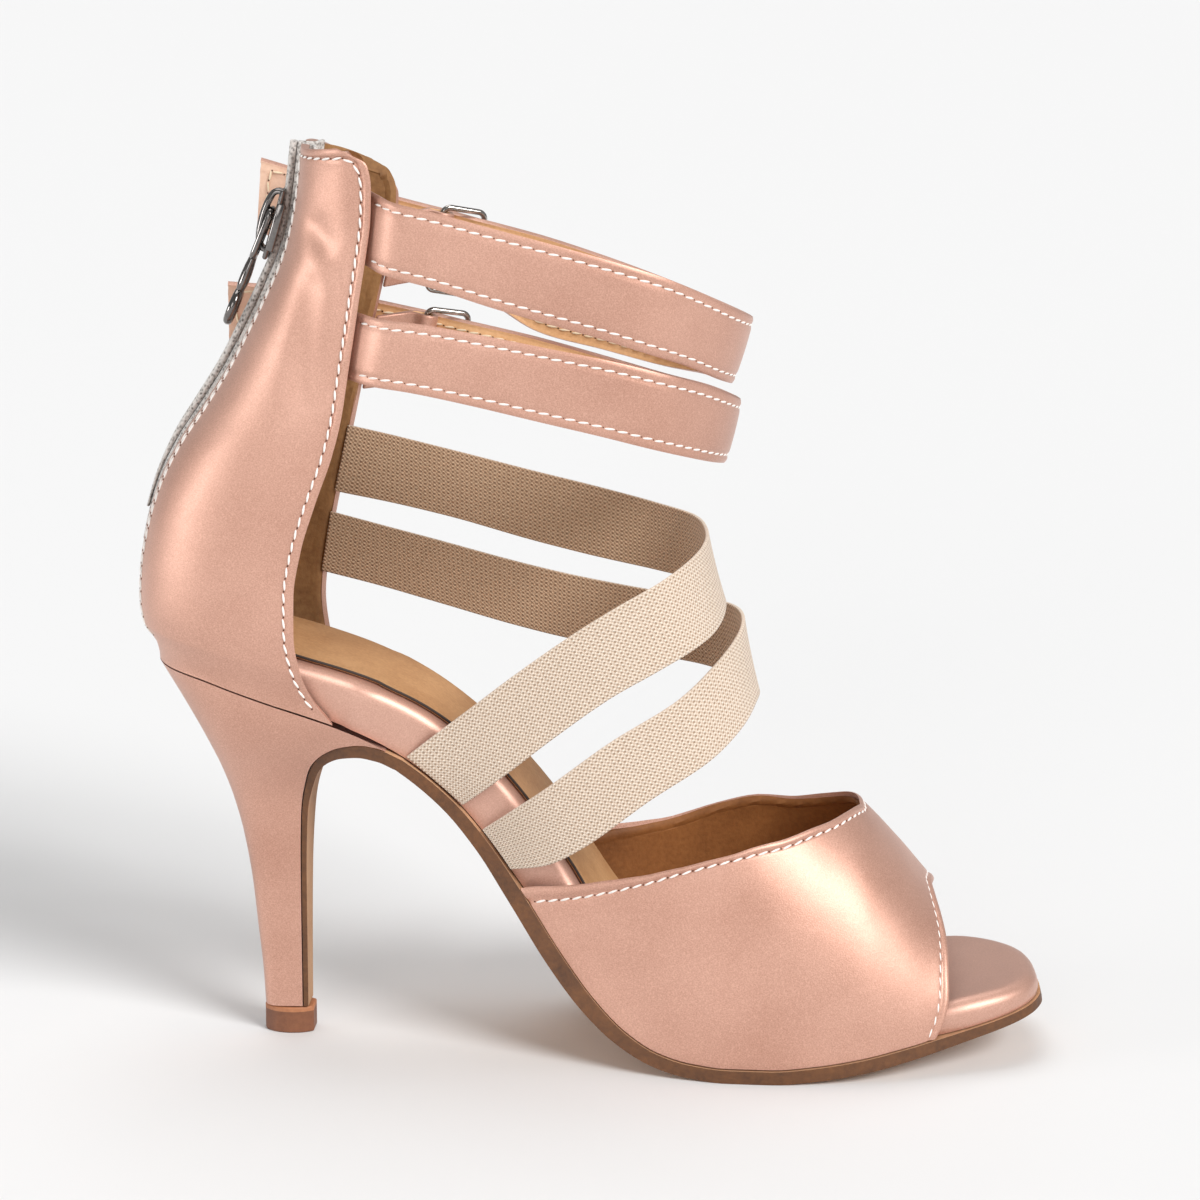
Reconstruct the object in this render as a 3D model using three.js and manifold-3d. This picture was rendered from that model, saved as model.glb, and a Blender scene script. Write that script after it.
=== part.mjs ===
// Latin dance shoe for the left foot: an open-toe, zip-back sandal on a slim flared heel.
// Millimetres. +X points to the toe, +Y to the shoe's outer side, +Z up.
// The origin is the centre of the heel tip's flat bottom, on the floor.

import * as THREE from 'three';
import Module from 'manifold-3d';
import { mergeVertices } from 'three/addons/utils/BufferGeometryUtils.js';

const wasm = await Module();
wasm.setup();

// Driving dimensions.
const gap = 0.3;             // between pieces that touch
const heelBack = -30.5;      // back of the seat
const heelCentre = 0;        // widest point of the seat
const toeStart = 160;        // where the toe starts to round
const toeTip = 187.3;
const tipY = -2.4;           // the toe's tip lies a little to the inner side
const seatRoundness = 2.4;   // exponent of the seat's rounded back
const seatFront = 27.1;      // front end of the heel's top face
const counterWall = 2;
const counterFrontX = 14.5;  // the counter's front corner on the seat
const vampWall = 1.6;
const strapWall = 1.8;
const elasticWall = 1;
const sockWall = 1;
const sockInset = 4.2;
const sockFront = 152;
const tipHeight = 6.7;
const slitHalf = 3.5;        // half of the opening that the zip closes
const slitRow = 4.5;         // the counter row where that opening ends

// Plan outline of the sole from its widest point at the heel to the tip of the toe: how far its
// inner and its outer edge lie from the middle plane.
const outlineRows = [
  { x: 0.0, inner: 24.0, outer: 24.0 },
  { x: 14.0, inner: 22.4, outer: 23.4 },
  { x: 21.0, inner: 20.9, outer: 22.5 },
  { x: 31.0, inner: 19.2, outer: 21.8 },
  { x: 43.0, inner: 18.2, outer: 21.8 },
  { x: 52.0, inner: 18.8, outer: 23.3 },
  { x: 60.0, inner: 20.2, outer: 25.6 },
  { x: 70.0, inner: 23.0, outer: 29.2 },
  { x: 78.0, inner: 26.0, outer: 32.3 },
  { x: 86.0, inner: 29.0, outer: 35.4 },
  { x: 94.0, inner: 31.5, outer: 38.0 },
  { x: 102.0, inner: 33.4, outer: 40.2 },
  { x: 111.0, inner: 35.0, outer: 42.0 },
  { x: 122.0, inner: 35.3, outer: 43.1 },
  { x: 132.0, inner: 34.6, outer: 43.2 },
  { x: 143.0, inner: 32.8, outer: 42.6 },
  { x: 154.0, inner: 29.2, outer: 41.0 },
  { x: 164.0, inner: 24.7, outer: 37.8 },
  { x: 170.0, inner: 21.8, outer: 34.4 },
  { x: 176.0, inner: 18.9, outer: 30.2 },
  { x: 181.0, inner: 15.6, outer: 24.8 },
  { x: 184.5, inner: 11.8, outer: 18.0 },
  { x: 186.5, inner: 7.4, outer: 9.2 },
  { x: 187.3, inner: 2.4, outer: -2.4 },
];

// The sole along its length: height of the outsole's upper face, and thickness of the leather and
// of the padded insole.
const soleRows = [
  { x: -30.5, top: 97.0, leather: 1.8, pad: 9.5 },
  { x: -19.0, top: 95.4, leather: 1.8, pad: 10.0 },
  { x: -8.5, top: 92.4, leather: 1.8, pad: 10.4 },
  { x: 0.0, top: 89.6, leather: 1.8, pad: 10.8 },
  { x: 14.0, top: 84.6, leather: 1.8, pad: 11.4 },
  { x: 21.0, top: 81.4, leather: 2.3, pad: 11.7 },
  { x: 31.0, top: 75.4, leather: 3.0, pad: 12.0 },
  { x: 43.0, top: 65.2, leather: 3.2, pad: 12.0 },
  { x: 52.0, top: 54.6, leather: 3.5, pad: 12.0 },
  { x: 60.0, top: 43.0, leather: 4.0, pad: 11.8 },
  { x: 70.0, top: 27.8, leather: 4.2, pad: 11.0 },
  { x: 78.0, top: 17.6, leather: 4.0, pad: 10.2 },
  { x: 86.0, top: 10.2, leather: 3.6, pad: 9.3 },
  { x: 94.0, top: 5.8, leather: 3.3, pad: 8.4 },
  { x: 102.0, top: 3.9, leather: 3.3, pad: 7.7 },
  { x: 111.0, top: 3.3, leather: 3.3, pad: 7.1 },
  { x: 122.0, top: 3.3, leather: 3.3, pad: 6.6 },
  { x: 132.0, top: 4.1, leather: 3.3, pad: 6.2 },
  { x: 143.0, top: 5.6, leather: 3.3, pad: 6.2 },
  { x: 154.0, top: 7.6, leather: 3.1, pad: 6.7 },
  { x: 164.0, top: 9.6, leather: 2.8, pad: 7.2 },
  { x: 176.0, top: 12.1, leather: 2.4, pad: 7.2 },
  { x: 187.3, top: 14.8, leather: 2.2, pad: 7.0 },
];

// The outsole's leather from the waist round the arc and down the heel's front.
const breastRows = [
  { x: 31.0, z: 75.4, inner: 19.2, outer: 21.8, leather: 3.0 },
  { x: 25.6, z: 77.9, inner: 19.6, outer: 21.8, leather: 3.0 },
  { x: 20.6, z: 78.7, inner: 19.4, outer: 21.2, leather: 2.9 },
  { x: 15.6, z: 77.9, inner: 18.4, outer: 19.6, leather: 2.7 },
  { x: 11.4, z: 75.7, inner: 16.6, outer: 17.3, leather: 2.4 },
  { x: 8.2, z: 72.0, inner: 14.0, outer: 14.4, leather: 2.1 },
  { x: 6.4, z: 67.0, inner: 11.2, outer: 11.4, leather: 1.8 },
  { x: 4.9, z: 59.0, inner: 8.5, outer: 8.6, leather: 1.4 },
  { x: 4.2, z: 42.0, inner: 6.2, outer: 6.2, leather: 1.2 },
  { x: 4.0, z: 25.0, inner: 5.1, outer: 5.1, leather: 1.2 },
  { x: 3.9, z: 7.0, inner: 4.4, outer: 4.4, leather: 1.2 },
];

// Slices of the heel from its tip to the seat: back point, the place on the outsole's front
// strip (row number of breastRows), half width, and how far the seat's own outline rules.
const heelRows = [
  { backX: -6.1, backZ: 7.0, front: 10.0, half: 4.6, seat: 0.0 },
  { backX: -6.6, backZ: 16.0, front: 9.5, half: 4.7, seat: 0.0 },
  { backX: -7.7, backZ: 27.5, front: 8.9, half: 5.3, seat: 0.0 },
  { backX: -8.9, backZ: 40.0, front: 8.2, half: 6.5, seat: 0.0 },
  { backX: -10.7, backZ: 51.5, front: 7.5, half: 8.3, seat: 0.0 },
  { backX: -13.0, backZ: 61.2, front: 6.7, half: 10.9, seat: 0.0 },
  { backX: -16.0, backZ: 70.2, front: 5.6, half: 14.2, seat: 0.1 },
  { backX: -19.9, backZ: 78.8, front: 4.1, half: 17.8, seat: 0.4 },
  { backX: -24.9, backZ: 87.8, front: 2.3, half: 21.2, seat: 0.75 },
  { backX: -30.5, backZ: 96.95, front: 0.75, half: 24.0, seat: 1.0 },
];

// The counter from the seat to the collar: back edge, front edge on each side, and plan shape.
const counterRows = [
  { backX: -30.5, backZ: 97.3, innerX: 14.5, innerZ: 84.7, outerX: 14.5, outerZ: 84.7, half: 24.0, wide: 0 },
  { backX: -32.5, backZ: 101.5, innerX: 10.4, innerZ: 90.6, outerX: 10.6, outerZ: 90.4, half: 25.4, wide: 0 },
  { backX: -34.3, backZ: 106.5, innerX: 7.6, innerZ: 98.0, outerX: 7.8, outerZ: 97.6, half: 26.8, wide: 0 },
  { backX: -35.1, backZ: 112.5, innerX: 6.1, innerZ: 107.5, outerX: 6.8, outerZ: 106.0, half: 27.8, wide: 0 },
  { backX: -34.7, backZ: 120.5, innerX: 6.3, innerZ: 118.0, outerX: 7.6, outerZ: 115.5, half: 28.2, wide: 1 },
  { backX: -33.1, backZ: 129.5, innerX: 8.2, innerZ: 129.0, outerX: 9.6, outerZ: 126.5, half: 28.2, wide: 3 },
  { backX: -30.0, backZ: 140.0, innerX: 11.8, innerZ: 140.5, outerX: 12.2, outerZ: 139.0, half: 28.0, wide: 6 },
  { backX: -24.8, backZ: 150.5, innerX: 15.9, innerZ: 152.0, outerX: 14.8, outerZ: 151.0, half: 27.6, wide: 9 },
  { backX: -18.0, backZ: 160.5, innerX: 18.3, innerZ: 161.5, outerX: 16.8, outerZ: 160.5, half: 27.2, wide: 13 },
  { backX: -12.0, backZ: 169.8, innerX: 19.9, innerZ: 171.5, outerX: 18.6, outerZ: 169.5, half: 26.8, wide: 16 },
  { backX: -6.6, backZ: 179.8, innerX: 21.6, innerZ: 182.0, outerX: 20.8, outerZ: 179.0, half: 26.5, wide: 19 },
  { backX: -2.2, backZ: 188.5, innerX: 23.0, innerZ: 191.0, outerX: 22.7, outerZ: 187.0, half: 26.3, wide: 22 },
  { backX: 1.8, backZ: 197.5, innerX: 24.5, innerZ: 200.0, outerX: 24.7, outerZ: 195.0, half: 26.2, wide: 24 },
  { backX: 4.3, backZ: 207.0, innerX: 25.7, innerZ: 209.0, outerX: 26.2, outerZ: 202.5, half: 26.1, wide: 26 },
  { backX: 5.5, backZ: 214.5, innerX: 25.9, innerZ: 216.3, outerX: 26.4, outerZ: 207.2, half: 26.0, wide: 26 },
  { backX: 6.2, backZ: 220.2, innerX: 24.9, innerZ: 221.9, outerX: 25.0, outerZ: 210.6, half: 26.0, wide: 26 },
  { backX: 6.6, backZ: 223.6, innerX: 20.7, innerZ: 225.9, outerX: 20.6, outerZ: 213.0, half: 26.0, wide: 26 },
];

// The vamp by angle over the foot, from the sole's edge (0) to the crown (90):
// where its throat and its toe opening lie, on each side.
const vampRows = [
  { angle: 0, throatInner: 59.8, throatOuter: 62.0, toeInner: 161.6, toeOuter: 160.0 },
  { angle: 6, throatInner: 66.6, throatOuter: 67.6, toeInner: 163.2, toeOuter: 161.8 },
  { angle: 14, throatInner: 76.1, throatOuter: 76.4, toeInner: 164.2, toeOuter: 162.8 },
  { angle: 21, throatInner: 85.1, throatOuter: 86.9, toeInner: 164.6, toeOuter: 163.2 },
  { angle: 27, throatInner: 94.4, throatOuter: 99.0, toeInner: 164.6, toeOuter: 163.4 },
  { angle: 32, throatInner: 103.7, throatOuter: 110.6, toeInner: 164.5, toeOuter: 163.3 },
  { angle: 38, throatInner: 113.6, throatOuter: 120.4, toeInner: 164.4, toeOuter: 163.1 },
  { angle: 47, throatInner: 122.8, throatOuter: 129.1, toeInner: 164.2, toeOuter: 162.8 },
  { angle: 56, throatInner: 129.4, throatOuter: 134.6, toeInner: 163.8, toeOuter: 162.4 },
  { angle: 67, throatInner: 135.4, throatOuter: 138.9, toeInner: 162.8, toeOuter: 161.6 },
  { angle: 79, throatInner: 139.5, throatOuter: 141.3, toeInner: 161.4, toeOuter: 160.8 },
  { angle: 90, throatInner: 142.0, throatOuter: 142.0, toeInner: 160.2, toeOuter: 160.2 },
];

// Height of the foot's crown over the sole's upper face.
const crownRows = [
  { x: 58, height: 105 },
  { x: 74, height: 105 },
  { x: 92, height: 98 },
  { x: 105, height: 91 },
  { x: 115, height: 83 },
  { x: 125, height: 71.4 },
  { x: 135, height: 60.6 },
  { x: 143, height: 52.7 },
  { x: 152, height: 41.2 },
  { x: 160, height: 29.9 },
  { x: 166, height: 22.6 },
];

// A smooth curve through one column of a table that never overshoots its rows.
function through(rows, by, key) {
  const at = rows.map((row) => row[by]);
  const value = rows.map((row) => row[key]);
  const step = at.slice(1).map((a, k) => a - at[k]);
  const rise = step.map((s, k) => (value[k + 1] - value[k]) / s);
  const slope = value.map((_, k) => {
    const before = rise[Math.max(0, k - 1)];
    const after = rise[Math.min(rise.length - 1, k)];
    return before * after <= 0 ? 0 : (2 * before * after) / (before + after);
  });
  return (x) => {
    const inside = THREE.MathUtils.clamp(x, at[0], at[at.length - 1]);
    const next = at.findIndex((a) => a > inside);
    const k = next < 0 ? step.length - 1 : next - 1;
    const t = (inside - at[k]) / step[k];
    return value[k] * (1 + 2 * t) * (1 - t) ** 2 + value[k + 1] * t * t * (3 - 2 * t)
      + step[k] * (slope[k] * t * (1 - t) ** 2 - slope[k + 1] * t * t * (1 - t));
  };
}

// Columns of a table as curves over its row number.
function overRows(rows) {
  const numbered = rows.map((row, number) => ({ ...row, number }));
  const keys = Object.keys(rows[0]);
  return Object.fromEntries(keys.map((key) => [key, through(numbered, 'number', key)]));
}

// The outline is followed by the root of the distance to the toe's tip, so that it rounds there.
const nearToe = (x) => -Math.sqrt(Math.max(0, toeTip - x));
const outlineSteps = outlineRows.map((row) => ({ ...row, near: nearToe(row.x) }));
const outlineOf = {
  inner: through(outlineSteps, 'near', 'inner'),
  outer: through(outlineSteps, 'near', 'outer'),
};
const soleOf = {
  top: through(soleRows, 'x', 'top'),
  leather: through(soleRows, 'x', 'leather'),
  pad: through(soleRows, 'x', 'pad'),
};
const breastOf = overRows(breastRows);
const heelOf = overRows(heelRows);
const counterOf = overRows(counterRows);
const crownHeight = through(crownRows, 'x', 'height');

const vector = (x, y, z) => new THREE.Vector3(x, y, z);
const mix = THREE.MathUtils.lerp;
const steps = (count) => Array.from({ length: count + 1 }, (_, k) => k / count);

// Plan outline of the sole: the y of one side's edge at x. The side is 'inner' or 'outer'.
function edgeY(side, x) {
  const sign = side === 'inner' ? -1 : 1;
  const back = THREE.MathUtils.clamp((heelCentre - x) / (heelCentre - heelBack), 0, 1);
  const round = (1 - back ** seatRoundness) ** (1 / seatRoundness);
  return sign * round * outlineOf[side](nearToe(x));
}

// The same outline drawn in by an inset, for what lies inside or on top of the sole.
function insetEdgeY(side, x, inset) {
  const along = (x - heelBack - inset) / (toeTip - heelBack - 2 * inset);
  const y = edgeY(side, mix(heelBack, toeTip, along));
  const full = Math.abs(edgeY(side, THREE.MathUtils.clamp(x, heelCentre, toeStart)));
  const middle = tipY * THREE.MathUtils.smoothstep(x, toeStart - 20, toeTip);
  return middle + (y - middle) * (1 - inset / full);
}

// Upward normal of the sole's upper face, in the shoe's upright middle plane.
function soleNormal(x) {
  const slope = (soleOf.top(x + 0.5) - soleOf.top(x - 0.5));
  return vector(-slope, 0, 1).normalize();
}

// A mesh from points and triangles, with its faces turned outwards.
function solid(points, triangles) {
  const volume = triangles.reduce((sum, [a, b, c]) => (
    sum + points[a].dot(vector().crossVectors(points[b], points[c]))), 0);
  const outward = volume < 0 ? triangles.map(([a, b, c]) => [a, c, b]) : triangles;
  const geometry = new THREE.BufferGeometry();
  geometry.setFromPoints(points);
  geometry.setIndex(outward.flat());
  return geometry;
}

// A skin over closed rings of points. Ring points k and n-1-k face each other across the ring,
// so strips between them close both ends.
function loft(rings) {
  const count = rings[0].length;
  const points = rings.flat();
  const triangles = [];
  for (let r = 0; r + 1 < rings.length; r += 1) {
    for (let k = 0; k < count; k += 1) {
      const next = (k + 1) % count;
      const [a, b] = [r * count + k, r * count + next];
      triangles.push([a, b, b + count], [a, b + count, a + count]);
    }
  }
  const closeEnd = (base, flip) => {
    for (let k = 0; k < Math.ceil(count / 2) - 1; k += 1) {
      const [a, b, c, d] = [k, k + 1, count - 2 - k, count - 1 - k].map((i) => base + i);
      const faces = b === c ? [[a, b, d]] : [[a, b, c], [a, c, d]];
      faces.forEach(([p, q, s]) => triangles.push(flip ? [p, s, q] : [p, q, s]));
    }
  };
  closeEnd(0, true);
  closeEnd((rings.length - 1) * count, false);
  return solid(points, triangles);
}

// A sheet with thickness: two grids of points, one for each face, closed round every edge.
// Cells for which keep says no are left open.
function thickSheet(front, back, keep = () => true) {
  const rows = front.length;
  const columns = front[0].length;
  const points = [...front.flat(), ...back.flat()];
  const at = (i, j) => i * columns + j;
  const other = rows * columns;
  const kept = (i, j) => i >= 0 && j >= 0 && i < rows - 1 && j < columns - 1 && keep(i, j);
  const triangles = [];
  const wall = (p, q) => triangles.push([p, p + other, q + other], [p, q + other, q]);
  for (let i = 0; i < rows - 1; i += 1) {
    for (let j = 0; j < columns - 1; j += 1) {
      if (kept(i, j)) {
        const [a, b, c, d] = [at(i, j), at(i + 1, j), at(i + 1, j + 1), at(i, j + 1)];
        triangles.push([a, b, c], [a, c, d]);
        triangles.push([a + other, c + other, b + other], [a + other, d + other, c + other]);
        if (!kept(i, j - 1)) wall(a, b);
        if (!kept(i + 1, j)) wall(b, c);
        if (!kept(i, j + 1)) wall(c, d);
        if (!kept(i - 1, j)) wall(d, a);
      }
    }
  }
  const used = [...new Set(triangles.flat())].sort((a, b) => a - b);
  const place = new Map(used.map((old, number) => [old, number]));
  return solid(used.map((old) => points[old]), triangles.map((face) => face.map((v) => place.get(v))));
}

// Unit normals of a grid of points.
function gridNormals(grid) {
  const clampTo = (list, k) => list[THREE.MathUtils.clamp(k, 0, list.length - 1)];
  return grid.map((row, i) => row.map((_, j) => {
    const along = clampTo(grid, i + 1)[j].clone().sub(clampTo(grid, i - 1)[j]);
    const across = clampTo(row, j + 1).clone().sub(clampTo(row, j - 1));
    return along.cross(across).normalize();
  }));
}

// The grid moved along its own normals.
function offsetGrid(grid, distance) {
  const normals = gridNormals(grid);
  return grid.map((row, i) => row.map((p, j) => p.clone().addScaledVector(normals[i][j], distance)));
}

function toManifold(geometry) {
  const bare = geometry.clone();
  bare.deleteAttribute('normal');
  bare.deleteAttribute('uv');
  const merged = mergeVertices(bare, 1e-4);
  return new wasm.Manifold(new wasm.Mesh({
    numProp: 3,
    vertProperties: new Float32Array(merged.attributes.position.array),
    triVerts: new Uint32Array(merged.index.array),
  }));
}

function fromManifold(body) {
  const mesh = body.getMesh();
  const geometry = new THREE.BufferGeometry();
  geometry.setAttribute('position', new THREE.BufferAttribute(mesh.vertProperties, 3));
  geometry.setIndex(new THREE.BufferAttribute(mesh.triVerts, 1));
  return geometry;
}

const finishes = {
  satin: { color: 0xe0b6a4, roughness: 0.38, metalness: 0.15 },
  lining: { color: 0xc49468, roughness: 0.7, metalness: 0 },
  leather: { color: 0x7a4a26, roughness: 0.55, metalness: 0 },
  rubber: { color: 0x6f452c, roughness: 0.6, metalness: 0 },
  elastic: { color: 0xdccbb4, roughness: 0.9, metalness: 0 },
  tape: { color: 0xb4aca4, roughness: 0.85, metalness: 0 },
  metal: { color: 0x8d8a88, roughness: 0.25, metalness: 1 },
};
const materials = Object.fromEntries(Object.entries(finishes).map(([name, finish]) => (
  [name, new THREE.MeshStandardMaterial(finish)])));

const shoe = new THREE.Group();

function add(name, geometry, material, parent = shoe) {
  const mesh = new THREE.Mesh(geometry, materials[material]);
  mesh.name = name;
  parent.add(mesh);
  return mesh;
}

// Outsole: one strip of leather from the toe, under the foot, round the arc and down the heel.
function makeOutsole() {
  const spine = [];
  const rounding = 18;
  steps(rounding).slice(1).forEach((t) => {
    const x = toeTip - (toeTip - toeStart) * (1 - Math.cos((t * Math.PI) / 2));
    spine.push({ x, z: soleOf.top(x), inner: edgeY('inner', x), outer: edgeY('outer', x), bulge: 0 });
  });
  const stations = [158, 152, 146, 140, 134, 128, 122, 116.5, 111, 106, 101, 96, 91, 86, 82, 78, 74, 70, 66,
    62, 58, 54, 50, 46, 42, 38, 34.5];
  stations.forEach((x) => {
    const bulge = 2 * THREE.MathUtils.smoothstep(100 - x, 5, 45);
    spine.push({ x, z: soleOf.top(x), inner: edgeY('inner', x), outer: edgeY('outer', x), bulge });
  });
  steps(18).forEach((t) => {
    const row = t * (breastRows.length - 1);
    spine.push({
      x: breastOf.x(row),
      z: breastOf.z(row),
      inner: -breastOf.inner(row),
      outer: breastOf.outer(row),
      bulge: 2 * (1 - THREE.MathUtils.smoothstep(row, 0, 4)),
      leather: breastOf.leather(row),
    });
  });
  const rings = spine.map((here, k) => {
    const before = spine[Math.max(0, k - 1)];
    const after = spine[Math.min(spine.length - 1, k + 1)];
    const isLast = k === spine.length - 1;
    const into = vector(after.z - before.z, 0, before.x - after.x).normalize();
    const normal = isLast ? vector(-1, 0, 0) : into;
    const flat = here.x > 110 && here.x < 123 && here.z < 10;
    const up = flat ? vector(0, 0, 1) : normal;
    const thickness = here.leather ?? soleOf.leather(here.x);
    const below = (part, y) => {
      const depth = thickness + here.bulge * (1 - part * part);
      return vector(here.x, y, here.z).addScaledVector(up, -depth);
    };
    const across = (part) => mix(here.inner, here.outer, (part + 1) / 2);
    return [
      vector(here.x, here.inner, here.z),
      ...[-1, -0.5, 0, 0.5, 1].map((part) => below(part, across(part))),
      vector(here.x, here.outer, here.z),
    ];
  });
  return loft(rings);
}

// Heel: slices from the tip up to the seat, round at the back and flat where the leather lies.
function makeHeel() {
  const across = [0.012, 0.035, 0.08, 0.15, 0.25, 0.4, 0.6, 0.8, 1];
  const slice = (number) => {
    const row = heelOf.front(number);
    const ahead = vector(breastOf.x(row + 0.05) - breastOf.x(row - 0.05), 0,
      breastOf.z(row + 0.05) - breastOf.z(row - 0.05)).normalize();
    const inward = number === 0 ? vector(-1, 0, 0) : vector(ahead.z, 0, -ahead.x);
    const front = vector(breastOf.x(row), 0, breastOf.z(row)).addScaledVector(inward, gap);
    const back = vector(heelOf.backX(number), 0, heelOf.backZ(number));
    const seat = heelOf.seat(number);
    const frontHalf = { inner: breastOf.inner(row), outer: breastOf.outer(row) };
    const side = (name, sign) => across.map((q) => {
      const place = back.clone().lerp(front, q);
      const seatX = mix(heelBack, seatFront, q);
      const straight = mix(soleOf.top(heelBack), soleOf.top(seatFront), q);
      place.z += seat * (soleOf.top(seatX) - straight);
      const widest = 0.42;
      const roundBack = (1 - ((widest - Math.min(q, widest)) / widest) ** seatRoundness) ** (1 / seatRoundness);
      const ahead01 = Math.max(0, (q - widest) / (1 - widest));
      const plain = roundBack * mix(heelOf.half(number), frontHalf[name], ahead01 ** 2);
      const y = mix(plain, Math.abs(edgeY(name, seatX)), seat);
      return vector(place.x, sign * y, place.z);
    });
    return [...side('inner', -1), ...side('outer', 1).reverse()];
  };
  const rings = steps(18).map((t) => slice(t * (heelRows.length - 1)));
  return loft(rings);
}

// Heel tip: the rubber piece that the heel stands on, round at the back and flat in front.
function makeHeelTip() {
  const [backX, frontX, half] = [-6.3, 6.2, 4.9];
  const layers = [{ z: 0, draw: 0.35 }, { z: 0.5, draw: 0 }, { z: tipHeight, draw: 0 }];
  const outline = [[0, 0.16], [0.03, 0.46], [0.1, 0.7], [0.2, 0.86], [0.36, 0.97], [0.55, 1], [0.8, 0.98],
    [0.95, 0.93], [1, 0.84]];
  const rings = layers.map(({ z, draw }) => {
    const side = (sign) => outline.map(([along, wide]) => (
      vector(mix(backX + draw, frontX - draw, along), sign * wide * (half - draw), z)));
    return [...side(-1), ...side(1).reverse()];
  });
  return loft(rings);
}

// How far the insole's wall stands back from the sole's edge, to leave room for the upper.
function insoleInset(x) {
  const smooth = THREE.MathUtils.smoothstep;
  const underCounter = 3 - 1.4 * smooth(x, 13, 18);
  const underVamp = 1.4 * smooth(x, 55, 59.5) - 1.4 * smooth(x, 160, 172);
  return underCounter + underVamp;
}

const insoleStations = [
  ...[0, 0.03, 0.08, 0.16, 0.27, 0.42, 0.6, 0.8].map((t) => mix(heelBack + 3.1, heelCentre, t)),
  ...[0, 7, 12, 16, 20, 25, 30, 35, 40, 45, 50, 54, 57, 60, 64, 68, 72, 76, 80, 84, 88, 93, 98, 104, 110,
    117, 124, 131, 138, 145, 152, 158],
  ...steps(12).slice(1).map((t) => mix(toeStart, toeTip - 1.7, Math.sin((t * Math.PI) / 2))),
];

// One ring of a piece that lies on the sole: its two lower corners, its walls and its top.
function restingRing(x, inset, floor, height, round) {
  const up = soleNormal(x);
  const base = vector(x, 0, soleOf.top(x));
  const side = (name) => {
    const y = insetEdgeY(name, x, inset);
    const sign = name === 'inner' ? -1 : 1;
    const room = Math.min(round, Math.max(0.05, Math.abs(y - tipY) - 0.1));
    const put = (rise, draw) => {
      const p = base.clone().addScaledVector(up, rise);
      p.y = y - sign * draw;
      return p;
    };
    if (round === 0) {
      return [put(floor, 0), put(height, 0)];
    }
    const corner = [0, 30, 60, 90].map(THREE.MathUtils.degToRad);
    return [put(floor, 0), ...corner.map((a) => (
      put(height - round + round * Math.sin(a), room * (1 - Math.cos(a)))))];
  };
  return [...side('inner'), ...side('outer').reverse()];
}

function makeInsole() {
  return loft(insoleStations.map((x) => (
    restingRing(x, insoleInset(x), gap, gap + soleOf.pad(x), 3.4))));
}

function makeSock() {
  const stations = insoleStations.filter((x) => x > heelBack + 8 && x <= sockFront);
  const start = heelBack + insoleInset(heelBack) + sockInset + 0.3;
  const nose = [0, 0.12, 0.4].map((t) => mix(start, stations[0], t));
  return loft([...nose, ...stations].map((x) => {
    const floor = 2 * gap + soleOf.pad(x);
    return restingRing(x, insoleInset(x) + sockInset, floor, floor + sockWall, 0);
  }));
}

// A point of the counter's outer face. The row number runs from the seat to the collar; part
// runs from the zip's edge (0) to the front edge (1).
function counterPoint(side, number, part) {
  const [backX, half, wide] = [counterOf.backX(number), counterOf.half(number), counterOf.wide(number)];
  const sign = side === 'inner' ? -1 : 1;
  const frontX = counterOf[`${side}X`](number);
  const reach = wide - backX;
  const slitX = wide - reach * (1 - (slitHalf / half) ** seatRoundness) ** (1 / seatRoundness);
  const x = part < 0 ? backX : mix(slitX, frontX, 1 - Math.cos((part * Math.PI) / 2));
  const behind = Math.max(0, (wide - x) / reach);
  const beyond = Math.max(0, x - wide);
  const round = half * Math.max(0, 1 - behind ** seatRoundness) ** (1 / seatRoundness);
  const curled = round - 0.008 * beyond * beyond;
  const seat = Math.max(0, 1 - number / 2);
  const y = mix(curled, Math.abs(edgeY(side, x)), part < 0 ? 0 : seat);
  const along = (x - backX) / (frontX - backX);
  const sag = Math.max(0, 1 - number / 4);
  const straight = mix(soleOf.top(heelBack), soleOf.top(counterFrontX), along);
  const seatX = mix(heelBack, counterFrontX, along);
  const z = mix(counterOf.backZ(number), counterOf[`${side}Z`](number), along)
    + sag * (soleOf.top(seatX) - straight);
  return vector(x, part < 0 ? 0 : sign * y, z);
}

// The counter's front edge at a given height, in the middle of its wall.
function frontEdge(side, z) {
  let [low, high] = [0, counterRows.length - 2];
  for (let n = 0; n < 40; n += 1) {
    const middle = (low + high) / 2;
    if (counterPoint(side, middle, 1).z < z) low = middle;
    else high = middle;
  }
  const p = counterPoint(side, low, 1);
  const sign = side === 'inner' ? -1 : 1;
  return vector(p.x + gap + 0.1, p.y - (sign * counterWall) / 2, z);
}

// Counter: the closed back of the upper, one wall from front edge to front edge, slit for the zip.
function makeCounter() {
  const parts = steps(10);
  const grid = counterRows.map((_, number) => [
    ...[...parts].reverse().map((part) => counterPoint('inner', number, part)),
    counterPoint('inner', number, -1),
    ...parts.map((part) => counterPoint('outer', number, part)),
  ]);
  const middle = parts.length;
  const open = (i, j) => i > slitRow - 1 && (j === middle - 1 || j === middle);
  return thickSheet(grid, offsetGrid(grid, -counterWall), (i, j) => !open(i, j));
}

// A point of the foot's outer form at x, by angle over the foot from the inner edge (0) over the
// crown (90) to the outer edge (180).
function footPoint(x, angle) {
  const [inner, outer] = [edgeY('inner', x) + gap, edgeY('outer', x) - gap];
  const [middle, half] = [(inner + outer) / 2, (outer - inner) / 2];
  const a = THREE.MathUtils.degToRad(angle);
  const wide = Math.sign(Math.cos(a)) * Math.abs(Math.cos(a)) ** 0.86;
  return vector(x, middle - half * wide, soleOf.top(x) + 1.5 * gap + crownHeight(x) * Math.sin(a) ** 0.97);
}

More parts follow.
